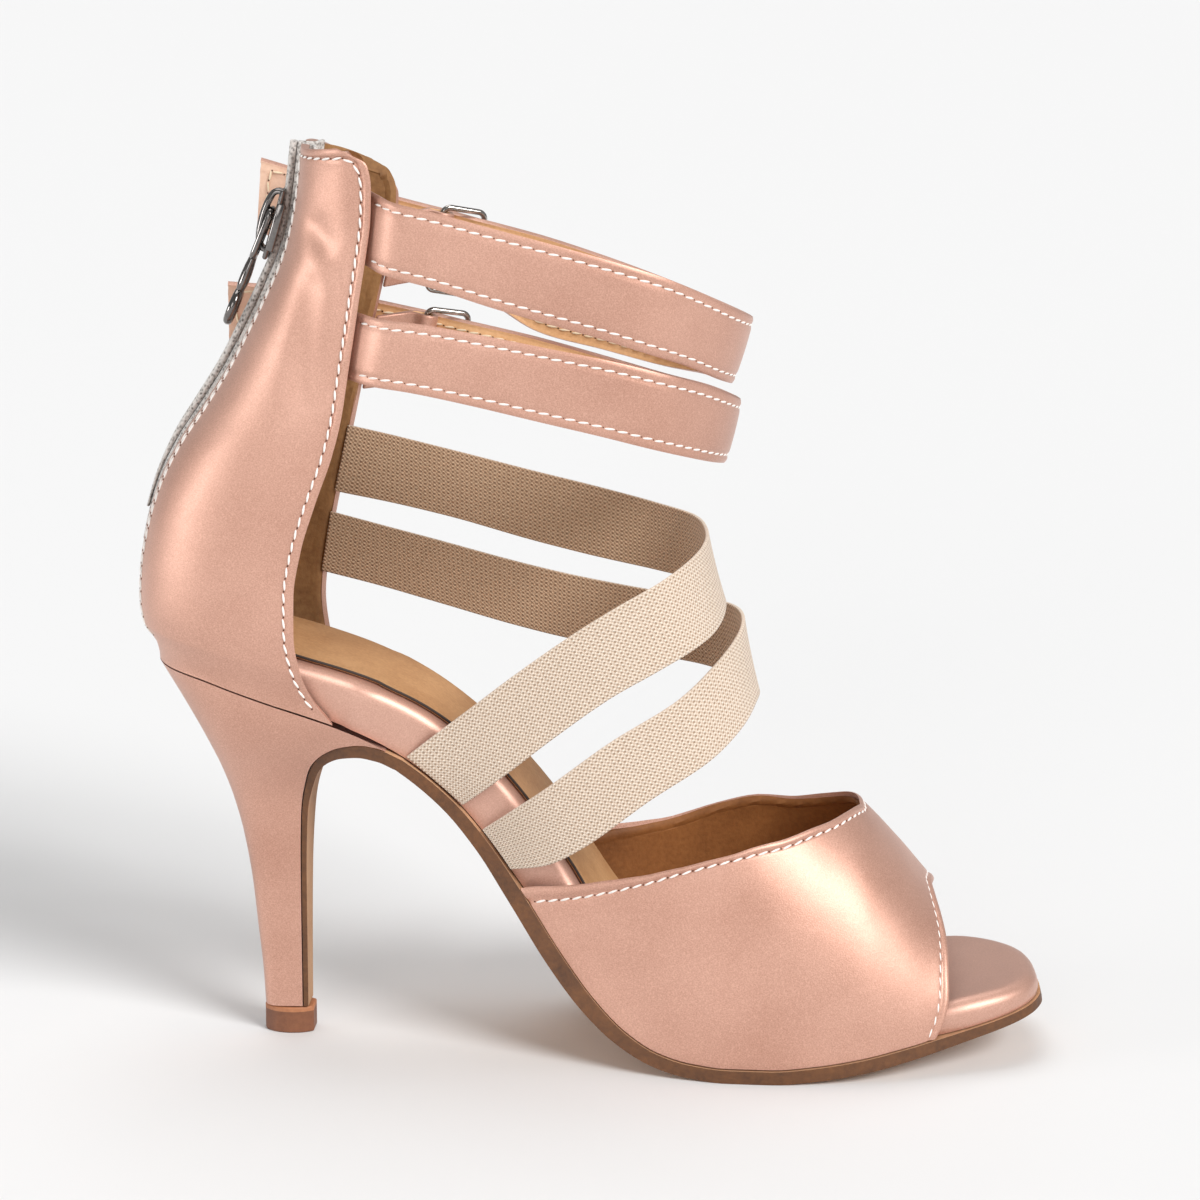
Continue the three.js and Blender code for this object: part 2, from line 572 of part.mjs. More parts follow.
// Vamp: one wall over the forefoot, open at the throat, at the toe and underneath.
function makeVamp() {
  const lines = ['throatInner', 'throatOuter', 'toeInner', 'toeOuter'];
  const of = Object.fromEntries(lines.map((key) => [key, through(vampRows, 'angle', key)]));
  const angles = [0, 4, 8, 13, 18, 23, 28, 33, 38, 44, 50, 57, 64, 72, 81, 90];
  const all = [...angles, ...angles.slice(0, -1).reverse().map((a) => 180 - a)];
  const grid = all.map((angle) => {
    const side = angle <= 90 ? 'Inner' : 'Outer';
    const folded = Math.min(angle, 180 - angle);
    const [throat, toe] = [of[`throat${side}`](folded), of[`toe${side}`](folded)];
    return steps(8).map((t) => footPoint(mix(throat, toe, t), angle));
  });
  return thickSheet(grid, offsetGrid(grid, vampWall));
}

// Buckles: where each one's bar lies and how steeply its strap runs down towards the toe.
const buckles = {
  upper: { bar: vector(35, 29.4, 193.5), slope: 12.8 },
  lower: { bar: vector(31, 29.4, 167.8), slope: 11 },
};
const buckleDepth = 11;     // from the bar to the front rail
const buckleWire = 1.5;
const buckleOpening = 19.6;
const strapAtBuckle = 18.8;

// Directions of a buckle: along its strap towards the toe, outwards, and up across the strap.
function buckleFrame({ bar, slope }) {
  const angle = THREE.MathUtils.degToRad(slope);
  const along = vector(Math.cos(angle), 0, -Math.sin(angle));
  const up = vector(Math.sin(angle), 0, Math.cos(angle));
  return { bar, along, out: vector(0, 1, 0), up };
}

// A strap's two edges where it passes a buckle, `forward` of its bar and `out` from it. Its lower
// edge can lie `extra` further down.
function atBuckle(buckle, forward, out, extra = 0) {
  const { bar, along, up } = buckleFrame(buckle);
  const centre = bar.clone().addScaledVector(along, forward);
  centre.y += out;
  return {
    upper: centre.clone().addScaledVector(up, strapAtBuckle / 2).toArray(),
    lower: centre.clone().addScaledVector(up, -strapAtBuckle / 2 - extra).toArray(),
  };
}

const prongHoleStart = 8.3;
const prongHoleEnd = 0.4;
const throughBuckle = (buckle) => [
  atBuckle(buckle, 13, 1.4, 1.6),
  atBuckle(buckle, prongHoleStart, 1.9),
  atBuckle(buckle, prongHoleEnd, 4.1),
  atBuckle(buckle, -4.5, 4.5),
];

// Bands of the upper, each as the course of its two edges. Ankle straps start at the counter's
// inner front edge, go round the leg, through the buckle and on past the heel.
const edges = (upper, lower) => ({ upper, lower });
const startAt = (side, z, clear) => frontEdge(side, z).add(vector(clear, 0, 0)).toArray();
const bandFrom = (side, upperZ, lowerZ, clear) => (
  edges(startAt(side, upperZ, clear), startAt(side, lowerZ, clear)));
const strapClear = 0.9;      // room for a strap's square end beside the counter
const elasticClear = 0.1;
const onSole = (x, y) => [x, y, soleOf.top(x) + 1];

const upperStrapRows = [
  bandFrom('inner', 214.6, 197.2, strapClear),
  edges([30.8, -28.8, 213.6], [28.8, -28.8, 196.2]),
  edges([41.7, -31.4, 211.4], [40.4, -31.4, 193.7]),
  edges([56.3, -32, 207.7], [54.0, -32, 189.5]),
  edges([71.7, -32, 203.7], [67.8, -32, 185.6]),
  edges([83.6, -30.8, 200.2], [79.6, -31, 182.2]),
  edges([95.3, -27, 195.9], [91.2, -27.5, 177.9]),
  edges([103.9, -20, 190.9], [99.6, -20.5, 173.9]),
  edges([111.2, -10.5, 185.6], [106.4, -11, 169.2]),
  edges([114.3, 0, 182.4], [109.4, -0.5, 166.2]),
  edges([112.8, 10.5, 181.4], [108.0, 10.5, 164.8]),
  edges([105.4, 20.5, 182.8], [101.6, 20.5, 164.4]),
  edges([94.7, 27, 186.0], [91.8, 27.2, 164.9]),
  edges([79.4, 31, 190.9], [76.8, 31.2, 168.0]),
  edges([62.4, 32.2, 196.2], [59.2, 32.0, 172.6]),
  ...throughBuckle(buckles.upper),
  edges([14.0, 33, 208.6], [10.2, 33, 189.4]),
  edges([-8.1, 30.4, 215.4], [-9.6, 30.4, 196.9]),
];

const lowerStrapRows = [
  bandFrom('inner', 186.2, 170.1, strapClear),
  edges([27.8, -29, 185.8], [24.9, -28.8, 169.7]),
  edges([38.6, -31.4, 185.0], [36.2, -31.4, 168.5]),
  edges([53.8, -32, 182.5], [51.0, -32, 165.6]),
  edges([68.6, -32, 179.7], [65.4, -32, 162.3]),
  edges([83.6, -30.8, 176.6], [80.0, -31, 158.8]),
  edges([95.3, -27, 173.0], [91.6, -27.3, 155.2]),
  edges([103.4, -19.5, 169.4], [99.6, -20, 151.9]),
  edges([109.4, -10, 165.2], [105.4, -10.5, 148.8]),
  edges([111.6, 0, 162.2], [107.8, -0.5, 146.6]),
  edges([110.0, 10, 161.2], [106.4, 10, 145.0]),
  edges([102.9, 20.5, 161.8], [99.6, 20.5, 144.2]),
  edges([92.4, 27.2, 163.1], [89.8, 27.4, 144.2]),
  edges([77.4, 31.2, 166.5], [74.9, 31.4, 146.5]),
  edges([60.0, 32.2, 171.0], [57.6, 32.4, 150.4]),
  ...throughBuckle(buckles.lower),
  edges([6.0, 32.2, 182.4], [4.2, 32.2, 164.8]),
  edges([-16.8, 29, 184.6], [-16.8, 29, 169.7]),
];

// Elastic bands start at the counter's outer front edge, cross the instep and end on the sole's
// inner edge at the waist.
const upperElasticRows = [
  bandFrom('outer', 149.0, 132.1, elasticClear),
  edges([25.0, 29.6, 146.0], [24.6, 29.6, 128.8]),
  edges([39.6, 31, 142.2], [39.5, 31, 125.0]),
  edges([58.6, 32, 137.3], [58.0, 32, 119.6]),
  edges([75.0, 30.8, 133.7], [74.2, 31, 115.9]),
  edges([91.0, 26, 130.7], [91.2, 26.5, 113.4]),
  edges([100.8, 16, 130.0], [103.5, 16.5, 112.8]),
  edges([104.4, 3, 129.2], [108.5, 3, 112.4]),
  edges([104.2, -9, 128.0], [109.3, -9, 111.2]),
  edges([100.4, -19.5, 125.8], [107.1, -20, 108.8]),
  edges([93.5, -27.8, 122.3], [102.0, -27.6, 106.1]),
  edges([84.8, -31, 117.7], [94.0, -30.8, 101.7]),
  edges([73.1, -31.4, 110.2], [82.5, -31.8, 95.0]),
  edges([59.3, -29, 99.7], [68.5, -29.8, 84.2]),
  edges([48.8, -25.6, 90.8], [58.4, -26.6, 75.4]),
  edges([40.5, -22.2, 83.6], [51.0, -22.4, 68.8]),
  edges(onSole(31.8, -18.5), onSole(45.4, -17.8)),
];

const lowerElasticRows = [
  bandFrom('outer', 126.7, 111.5, elasticClear),
  edges([21.0, 29.6, 123.2], [20.5, 29.8, 107.5]),
  edges([34.4, 31.2, 119.4], [35.5, 32, 102.7]),
  edges([53.6, 33, 113.9], [53.4, 34, 97.1]),
  edges([67.9, 33.8, 110.4], [67.4, 35, 93.5]),
  edges([87.5, 31.6, 107.4], [87.2, 33, 90.4]),
  edges([101.5, 24, 107.4], [103.0, 25, 89.7]),
  edges([110.2, 13, 108.3], [112.9, 13.5, 89.4]),
  edges([113.5, 1, 108.3], [117.3, 1, 89.6]),
  edges([112.9, -10, 106.4], [117.2, -10.5, 89.6]),
  edges([108.3, -20, 102.0], [114.2, -20.5, 85.8]),
  edges([98.9, -28.8, 94.3], [106.9, -28.6, 79.6]),
  edges([82.6, -32.4, 84.3], [91.8, -32, 69.7]),
  edges([67.0, -30.4, 72.0], [76.6, -29.6, 57.5]),
  edges([58.6, -26, 65.2], [66.9, -25.2, 51.2]),
  edges(onSole(50.2, -19.0), onSole(57.2, -19.6)),
];

// A band along its two edges, `cells` steps from row to row. The last row is an end.
// Where `hole` names a row, the middle of the band is open from that row to the next.
function band(rows, wall, cells, hole = -1) {
  const curve = (key) => new THREE.CatmullRomCurve3(rows.map((row) => vector(...row[key])), false, 'centripetal');
  const [upper, lower] = [curve('upper'), curve('lower')];
  const across = [0, 0.2, 0.425, 0.575, 0.8, 1];
  const grid = steps((rows.length - 1) * cells).map((t) => (
    across.map((part) => upper.getPoint(t).lerp(lower.getPoint(t), part))));
  const isHole = (i, j) => hole >= 0 && Math.floor(i / cells) === hole && j === 2;
  return thickSheet(offsetGrid(grid, wall / 2), offsetGrid(grid, -wall / 2), (i, j) => !isHole(i, j));
}

// The strap's tab: a folded strip from the counter's outer front edge round the buckle's bar and
// back, notched in the middle for the prong.
function makeTab(buckle) {
  const { bar, along, out, up } = buckleFrame(buckle);
  const levels = [-9.4, -5, -1.7, 1.7, 5, 9.4];
  const fold = 2.3;
  const layer = 0.75;
  const wall = 1.2;
  const grid = levels.map((level) => {
    const middle = bar.clone().addScaledVector(up, level);
    const rear = frontEdge('outer', middle.z);
    const around = (angle, radius) => {
      const a = THREE.MathUtils.degToRad(angle);
      return middle.clone().addScaledVector(along, radius * Math.cos(a)).addScaledVector(out, radius * Math.sin(a));
    };
    rear.x += 0.3;
    const split = around(180, 3.6);
    const outer = [rear.clone().addScaledVector(out, layer), split.clone().addScaledVector(out, layer * 1.6)];
    const bend = [130, 90, 54, 18, -18, -54, -90, -130].map((angle) => around(angle, fold));
    const inner = [split.clone().addScaledVector(out, -layer * 1.6), rear.clone().addScaledVector(out, -layer)];
    return [...outer, ...bend, ...inner];
  });
  const notch = (i, j) => i === 2 && j >= 1 && j <= 9;
  return thickSheet(offsetGrid(grid, wall / 2), offsetGrid(grid, -wall / 2), (i, j) => !notch(i, j));
}

function roundedRectangle(path, width, height, radius) {
  const [x, y] = [width / 2, height / 2];
  path.moveTo(-x + radius, -y);
  path.lineTo(x - radius, -y);
  path.absarc(x - radius, -y + radius, radius, -Math.PI / 2, 0, false);
  path.lineTo(x, y - radius);
  path.absarc(x - radius, y - radius, radius, 0, Math.PI / 2, false);
  path.lineTo(-x + radius, y);
  path.absarc(-x + radius, y - radius, radius, Math.PI / 2, Math.PI, false);
  path.lineTo(-x, -y + radius);
  path.absarc(-x + radius, -y + radius, radius, Math.PI, 1.5 * Math.PI, false);
  return path;
}

// A group whose own x runs along the strap, y outwards and z up across it.
function buckleGroup(buckle) {
  const { bar, along, out, up } = buckleFrame(buckle);
  const group = new THREE.Group();
  group.setRotationFromMatrix(new THREE.Matrix4().makeBasis(along, out, up));
  group.position.copy(bar);
  shoe.add(group);
  return group;
}

// Buckle frame: a rectangular ring tipped outwards so that the strap passes under its front rail.
const frameTip = Math.asin(4.5 / buckleDepth);

function makeBuckleFrame() {
  const [length, height] = [buckleDepth, buckleOpening + buckleWire];
  const ring = roundedRectangle(new THREE.Shape(), length + buckleWire, height + buckleWire, 2.2);
  ring.holes.push(roundedRectangle(new THREE.Path(), length - buckleWire, height - buckleWire, 1));
  const plate = new THREE.ExtrudeGeometry(ring, { depth: buckleWire, bevelEnabled: false, curveSegments: 4 });
  plate.translate(0, 0, -buckleWire / 2);
  plate.rotateX(Math.PI / 2);
  plate.translate(buckleDepth / 2, 0, 0);
  plate.rotateZ(frameTip);
  return plate;
}

// Prong: an eye round the bar and a pin through the strap, its end on the front rail.
function makeProng() {
  const [eye, hole, pin] = [2.35, 1.5, 0.7];
  const [endX, endY] = [12, 7.5];
  const lean = Math.atan2(endY - eye + pin, endX);
  const side = vector(-Math.sin(lean), Math.cos(lean), 0);
  const start = Math.PI / 2 + lean;
  const shape = new THREE.Shape();
  shape.absarc(0, 0, eye, start, start + 1.75 * Math.PI, false);
  const reach = vector(endX, endY, 0);
  shape.lineTo(reach.x - side.x * pin, reach.y - side.y * pin);
  shape.lineTo(reach.x + side.x * pin, reach.y + side.y * pin);
  shape.closePath();
  const round = new THREE.Path();
  round.absarc(0, 0, hole, 0, 2 * Math.PI, true);
  shape.holes.push(round);
  const depth = 1.8;
  const prong = new THREE.ExtrudeGeometry(shape, { depth, bevelEnabled: false, curveSegments: 10 });
  prong.translate(0, 0, -depth / 2);
  return prong;
}

// Zip: how far its ridge stands out behind the counter's edges.
const zipRidge = (number) => 0.9 * THREE.MathUtils.smoothstep(number, 5, 13);
const tapeWall = 0.8;
const teethWall = 1;
const zipTop = counterRows.length - 1;

// Forward direction across the counter's back line at a row number.
function backInward(number) {
  const above = counterPoint('inner', Math.min(number + 0.3, zipTop), -1);
  const below = counterPoint('inner', number - 0.3, -1);
  return vector(above.z - below.z, 0, below.x - above.x).normalize();
}

function zipSheet(columns, depthAt, wall, from, to, count) {
  const grid = steps(count).map((t) => {
    const number = mix(from, to, t);
    const back = counterPoint('inner', number, -1);
    const inward = backInward(number);
    return columns.map((y) => vector(back.x, y, back.z).addScaledVector(inward, depthAt(number, y)));
  });
  return thickSheet(offsetGrid(grid, wall / 2), offsetGrid(grid, -wall / 2));
}

// The tape: folded out between the counter's two edges and flat against their inner face.
const tapeFolds = [
  { y: 0, ridge: 1, depth: 0 },
  { y: 1.3, ridge: 0.8, depth: 0 },
  { y: 2.1, ridge: 0, depth: 1.1 },
  { y: 2.7, ridge: 0, depth: 2.95 },
  { y: 5, ridge: 0, depth: 3.3 },
  { y: 7.5, ridge: 0, depth: 3.9 },
];

function makeZipTape() {
  const columns = [...tapeFolds.slice(1).reverse().map((fold) => -fold.y), ...tapeFolds.map((fold) => fold.y)];
  const depthAt = (number, y) => {
    const fold = tapeFolds.find((row) => row.y === Math.abs(y));
    return fold.depth - fold.ridge * zipRidge(number);
  };
  return zipSheet(columns, depthAt, tapeWall, slitRow + 0.7, zipTop, 13);
}

function makeZipTeeth() {
  const stand = tapeWall / 2 + gap + 0.15 + teethWall / 2;
  const depthAt = (number) => -zipRidge(number) - stand;
  return zipSheet([-1.5, 0, 1.5], depthAt, teethWall, slitRow + 0.9, 12.4, 12);
}

// The slider's frame: its pivot, and the lean of the back line that it rides on.
const pivotRow = 13;
const pivotBack = counterPoint('inner', pivotRow, -1);
const pivotOut = zipRidge(pivotRow) + tapeWall / 2 + teethWall + 3 * gap;
const sliderLean = THREE.MathUtils.degToRad(16.4);
const pullLean = THREE.MathUtils.degToRad(22.5);
const plateWall = 1.2;
const crownRoom = 2.2;       // inner depth of the slider's bridge
const crossbar = 0.7;        // radius of the pull's cross bar
const pivot = vector(pivotBack.x - pivotOut - plateWall - crownRoom / 2, 0, pivotBack.z);

function sliderGroup(lean) {
  const group = new THREE.Group();
  group.position.copy(pivot);
  group.rotation.y = lean;
  shoe.add(group);
  return group;
}

// Slider: an outer plate with a bridge over the pull's cross bar.
function makeSlider() {
  const [plateHeight, plateWidth, plateMiddle] = [17.8, 8.4, -2.7];
  const plateShape = roundedRectangle(new THREE.Shape(), plateWidth, plateHeight, 2.4);
  const plate = new THREE.ExtrudeGeometry(plateShape, { depth: plateWall, bevelEnabled: false, curveSegments: 4 });
  plate.translate(0, plateMiddle, 0);
  plate.rotateX(Math.PI / 2);
  plate.rotateZ(Math.PI / 2);
  plate.translate(crownRoom / 2, 0, 0);
  const [top, foot, straight] = [5, -9.8, -5];
  const bridge = new THREE.Shape();
  bridge.moveTo(crownRoom / 2 + 0.5, foot);
  bridge.lineTo(crownRoom / 2 + 0.5, top);
  bridge.lineTo(0.2, top);
  bridge.quadraticCurveTo(-crownRoom / 2 - 0.9, top - 1, -crownRoom / 2 - 1, 0);
  bridge.lineTo(-crownRoom / 2 - 1, straight);
  bridge.quadraticCurveTo(-crownRoom / 2 - 0.9, foot + 1, 0.2, foot);
  bridge.closePath();
  const window = new THREE.Path();
  window.moveTo(crownRoom / 2, foot + 1);
  window.lineTo(0.4, foot + 1);
  window.quadraticCurveTo(-crownRoom / 2, foot + 2, -crownRoom / 2, straight);
  window.lineTo(-crownRoom / 2, 0);
  window.quadraticCurveTo(-crownRoom / 2, top - 2, 0.4, top - 1);
  window.lineTo(crownRoom / 2, top - 1);
  window.closePath();
  bridge.holes.push(window);
  const crownWidth = 2.6;
  const crown = new THREE.ExtrudeGeometry(bridge, { depth: crownWidth, bevelEnabled: false, curveSegments: 6 });
  crown.translate(0, 0, -crownWidth / 2);
  crown.rotateX(Math.PI / 2);
  return fromManifold(toManifold(plate).add(toManifold(crown)));
}

// Pull tab: a slim tongue that hangs from the slider, with an eye at its foot.
function makePull() {
  const wall = 1.3;
  const shape = new THREE.Shape();
  shape.moveTo(-3.2, crossbar);
  shape.lineTo(3.2, crossbar);
  shape.lineTo(3.4, -4);
  shape.quadraticCurveTo(3.2, -10, 2.6, -13.5);
  shape.quadraticCurveTo(2.2, -16.5, 3.2, -19.5);
  shape.absarc(0, -25.5, 4.4, Math.PI / 4, -1.25 * Math.PI, true);
  shape.lineTo(-3.2, -19.5);
  shape.quadraticCurveTo(-2.2, -16.5, -2.6, -13.5);
  shape.quadraticCurveTo(-3.2, -10, -3.4, -4);
  shape.closePath();
  const room = new THREE.Path();
  room.moveTo(-1.8, -crossbar);
  room.lineTo(-1.8, -12);
  room.lineTo(1.8, -12);
  room.lineTo(1.8, -crossbar);
  room.closePath();
  const eye = new THREE.Path();
  eye.absarc(0, -25.5, 2.3, 0, 2 * Math.PI, false);
  shape.holes.push(room, eye);
  const pull = new THREE.ExtrudeGeometry(shape, { depth: wall, bevelEnabled: false, curveSegments: 8 });
  pull.translate(0, 0, -wall / 2);
  pull.rotateX(Math.PI / 2);
  pull.rotateZ(Math.PI / 2);
  return pull;
}

add('outsole', makeOutsole(), 'leather');
add('heel', makeHeel(), 'satin');
add('heel_tip', makeHeelTip(), 'rubber');
add('insole', makeInsole(), 'satin');
add('sock', makeSock(), 'lining');
add('counter', makeCounter(), 'satin');
add('vamp', makeVamp(), 'satin');

const holeRow = (rows) => rows.findIndex((_, k) => k > 12 && rows.length - k === 5);
add('ankle_strap_upper', band(upperStrapRows, strapWall, 2, holeRow(upperStrapRows)), 'satin');
add('ankle_strap_lower', band(lowerStrapRows, strapWall, 2, holeRow(lowerStrapRows)), 'satin');
add('elastic_upper', band(upperElasticRows, elasticWall, 2), 'elastic');
add('elastic_lower', band(lowerElasticRows, elasticWall, 2), 'elastic');

for (const [name, buckle] of Object.entries(buckles)) {
  add(`buckle_tab_${name}`, makeTab(buckle), 'satin');
  const group = buckleGroup(buckle);
  add(`buckle_frame_${name}`, makeBuckleFrame(), 'metal', group);
  add(`buckle_prong_${name}`, makeProng(), 'metal', group);
}

add('zip_tape', makeZipTape(), 'tape');
add('zip_teeth', makeZipTeeth(), 'metal');
add('zip_slider', makeSlider(), 'metal', sliderGroup(sliderLean));
add('zip_pull', makePull(), 'metal', sliderGroup(pullLean));

export default shoe;
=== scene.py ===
# %% [markdown]
# # A latin dance shoe
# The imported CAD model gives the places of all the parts. Every soft part is made again here with
# rounded edges, stitches and cloth, in the same places. The finishes and the helpers come first, then
# the parts from the ground up, then the floor, the light and the camera.

# %% Load the frame
import bisect
import math

import bmesh
import bpy
from mathutils import Matrix, Vector


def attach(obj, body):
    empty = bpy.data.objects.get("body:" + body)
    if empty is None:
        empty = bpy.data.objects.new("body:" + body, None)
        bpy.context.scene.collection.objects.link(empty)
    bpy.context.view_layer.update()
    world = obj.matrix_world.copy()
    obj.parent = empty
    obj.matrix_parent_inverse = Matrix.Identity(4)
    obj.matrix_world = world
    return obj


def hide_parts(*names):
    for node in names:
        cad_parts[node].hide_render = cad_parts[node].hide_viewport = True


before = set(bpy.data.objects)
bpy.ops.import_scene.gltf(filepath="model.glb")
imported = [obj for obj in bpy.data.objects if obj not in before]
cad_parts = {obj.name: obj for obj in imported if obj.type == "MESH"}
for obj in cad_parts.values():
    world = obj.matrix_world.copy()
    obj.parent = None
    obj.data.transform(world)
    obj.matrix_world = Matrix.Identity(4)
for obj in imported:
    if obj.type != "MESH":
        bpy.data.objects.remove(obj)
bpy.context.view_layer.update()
SHOE = "shoe"
PULL = "pull_tab"
MM = 0.001

# %% [markdown]
# ## Shader maths
# A finish is a chain of small nodes, and long chains are hard to read. This class wraps a socket,
# so that a plain Python expression such as `1 - mask * 0.5` adds its Math nodes by itself.


# %% Values that add their own Math nodes
class Value:
    """One number that varies over a surface."""

    def __init__(self, finish, socket):
        self.finish = finish
        self.socket = socket

    def maths(self, operation, *inputs):
        return self.finish.node("ShaderNodeMath", {"operation": operation}, inputs)

    def __add__(self, other):
        return self.maths("ADD", self, other)

    def __sub__(self, other):
        return self.maths("SUBTRACT", self, other)

    def __rsub__(self, other):
        return self.maths("SUBTRACT", other, self)

    def __mul__(self, other):
        return self.maths("MULTIPLY", self, other)

    __radd__ = __add__
    __rmul__ = __mul__

    def sine(self):
        return self.maths("SINE", self)


class Finish:
    """A material and the nodes that feed its Principled shader."""

    def __init__(self, name, **constants):
        self.material = bpy.data.materials.new(name)
        self.material.use_nodes = True
        self.tree = self.material.node_tree
        self.shader = self.tree.nodes["Principled BSDF"]
        for socket, value in constants.items():
            self.shader.inputs[socket.replace("_", " ")].default_value = value

    def node(self, kind, settings, inputs, output=0):
        """Adds a node. Settings come first, then the values or links of its sockets."""
        made = self.tree.nodes.new(kind)
        for key, value in settings.items():
            if key == "stops":
                self.set_stops(made.color_ramp, value)
            else:
                setattr(made, key, value)
        pairs = inputs.items() if isinstance(inputs, dict) else enumerate(inputs)
        for key, value in pairs:
            if isinstance(value, Value):
                self.tree.links.new(value.socket, made.inputs[key])
            else:
                made.inputs[key].default_value = value
        return Value(self, made.outputs[output])

    @staticmethod
    def set_stops(ramp, stops):
        while len(ramp.elements) > len(stops):
            ramp.elements.remove(ramp.elements[-1])
        while len(ramp.elements) < len(stops):
            ramp.elements.new(0.5)
        for element, (place, colour) in zip(ramp.elements, stops):
            element.position = place
            element.color = colour

    def place(self):
        return self.node("ShaderNodeTexCoord", {}, {}, "Object")

    def along(self):
        return self.node("ShaderNodeUVMap", {"uv_map": "cloth"}, {})

    def turned(self, vector, scale, turn=(0, 0, 0)):
        angles = tuple(math.radians(a) for a in turn)
        return self.node("ShaderNodeMapping", {}, {"Vector": vector, "Scale": scale, "Rotation": angles})

    def noise(self, vector, scale, detail, rough=0.5):
        sockets = {"Vector": vector, "Scale": scale, "Detail": detail, "Roughness": rough}
        return self.node("ShaderNodeTexNoise", {}, sockets)

    def cells(self, vector, scale):
        return self.node("ShaderNodeTexVoronoi", {"feature": "F1"}, {"Vector": vector, "Scale": scale})

    def part_of(self, vector, axis):
        return self.node("ShaderNodeSeparateXYZ", {}, {0: vector}, axis)

    def ramp(self, value, *stops):
        return self.node("ShaderNodeValToRGB", {"stops": stops}, {0: value})

    def blend(self, factor, first, second):
        return self.node("ShaderNodeMix", {"data_type": "RGBA"}, {0: factor, 6: first, 7: second}, 2)

    def feed(self, socket, value):
        self.tree.links.new(value.socket, self.shader.inputs[socket])

    def bump(self, height, distance, strength, below=None):
        sockets = {"Height": height, "Distance": distance, "Strength": strength}
        if below is not None:
            sockets["Normal"] = below
        return self.node("ShaderNodeBump", {}, sockets)


def colour(red, green, blue):
    """A colour given as it looks on a screen, from 0 to 255, turned into linear light."""
    channels = [c / 255 for c in (red, green, blue)]
    linear = [c / 12.92 if c <= 0.04045 else ((c + 0.055) / 1.055) ** 2.4 for c in channels]
    return (*linear, 1.0)


# %% [markdown]
# ## Satin
# Most of the shoe is covered in a skin-coloured satin that is bonded to a soft backing, so it has a
# fine crinkled grain like thin leather. The grain is a noise with a cell pattern, and its crests are
# painted paler than its valleys, a painted highlight for the glint of the sheen on them; a broad noise
# adds random tone. Its bump is shallow, because a deep one scatters the satin's broad sheen.

# %% The satin finish
def make_satin(name, light, deep, grain_turn=(0, 0, 35), grain=0.00007):
    finish = Finish(name, Metallic=0.6, Sheen_Weight=0.15, Sheen_Roughness=0.4, Coat_Roughness=0.38,
                    Coat_Weight=0.3, Coat_IOR=1.7)
    spot = finish.place()
    turned = finish.turned(spot, (1.0, 1.0, 1.0), grain_turn)
    broad = finish.noise(spot, 30.0, 3.0)
    ripple = finish.noise(finish.turned(turned, (0.55, 1.0, 1.0)), 4200.0, 2.0, 0.55)
    pebble = finish.cells(turned, 2600.0)
    height = ripple * 0.7 + pebble * 0.3
    # The crests' paler colour is painted highlight, the glint of the sheen on the grain; the broad noise is
    # random tone.
    tone = finish.ramp(height * 0.6 + broad * 0.4, (0.3, deep), (0.7, light))
    finish.feed("Base Color", tone)
    finish.feed("Roughness", 0.37 + broad * 0.06 + ripple * 0.16)
    soft = finish.bump(finish.noise(spot, 90.0, 2.0), 0.0006, 0.3)
    finish.feed("Normal", finish.bump(height, grain, 0.8, soft))
    return finish.material


SATIN = make_satin("satin", colour(222, 175, 155), colour(178, 129, 108))
SATIN_SMOOTH = make_satin("satin_smooth", colour(220, 176, 157), colour(190, 143, 124), (0, 40, 0), 0.00004)

# %% [markdown]
# ## Lining, leather and rubber
# The lining inside the straps and under the foot is a smooth tan leather with fine pores, and that of
# the counter and the vamp is browner and duller. The sole's underside is brushed suede, its cut edge
# is stained dark brown, and the heel's tip is hard rubber. One recipe serves for all of them.


# %% Leather-like finishes
def make_hide(name, light, deep, rough, pore_scale, pore_depth):
    finish = Finish(name, Roughness=rough)
    spot = finish.place()
    broad = finish.noise(spot, 60.0, 4.0, 0.6)
    fine = finish.noise(spot, pore_scale, 3.0, 0.6)
    finish.feed("Base Color", finish.ramp(broad * 0.6 + fine * 0.4, (0.32, deep), (0.66, light)))
    finish.feed("Roughness", rough - 0.06 + fine * 0.14)
    finish.feed("Normal", finish.bump(fine, pore_depth, 0.5))
    return finish.material


LINING = make_hide("tan_lining", colour(234, 188, 140), colour(206, 154, 104), 0.55, 1400.0, 0.00015)
# The free end's lining is a paler, pinker copy of the strap lining; part of its paleness is painted light that
# offsets the shade on that inner face.
LIT_END_LINING = make_hide("strap_end_lining_painted_light", colour(238, 204, 180), colour(220, 180, 154), 0.55, 1400.0, 0.00015)
COUNTER_LINING = make_hide("counter_lining", colour(168, 124, 78), colour(124, 84, 46), 0.75, 700.0, 0.0003)
VAMP_LINING = make_hide("vamp_lining", colour(152, 98, 50), colour(118, 70, 30), 0.6, 900.0, 0.0002)
SUEDE = make_hide("sole_suede", colour(208, 166, 128), colour(176, 130, 94), 0.92, 900.0, 0.0003)
SOLE_EDGE = make_hide("sole_edge", colour(112, 70, 36), colour(66, 38, 18), 0.5, 700.0, 0.0003)
BREAST = make_hide("heel_breast_leather", colour(188, 150, 116), colour(164, 122, 88), 0.75, 900.0, 0.0002)
RUBBER = make_hide("tip_rubber", colour(132, 84, 56), colour(100, 58, 38), 0.55, 800.0, 0.0002)
TIP_RIM = make_hide("tip_rim", colour(184, 124, 84), colour(150, 94, 62), 0.6, 800.0, 0.0002)
SOCK = make_hide("tan_sock", colour(206, 160, 114), colour(172, 124, 80), 0.6, 1200.0, 0.0002)
SOCK_LINE = make_hide("sock_edge_line", colour(58, 42, 34), colour(38, 26, 20), 0.6, 800.0, 0.0002)

# %% [markdown]
# ## Woven finishes
# The elastic bands are woven, and their ribs run with the band. The pattern reads the piece's own UV
# map, which holds real millimetres, so it follows the band round its bends. The zip's tape has only a
# fine felted fleck, which needs no direction, so it reads the place in the object.


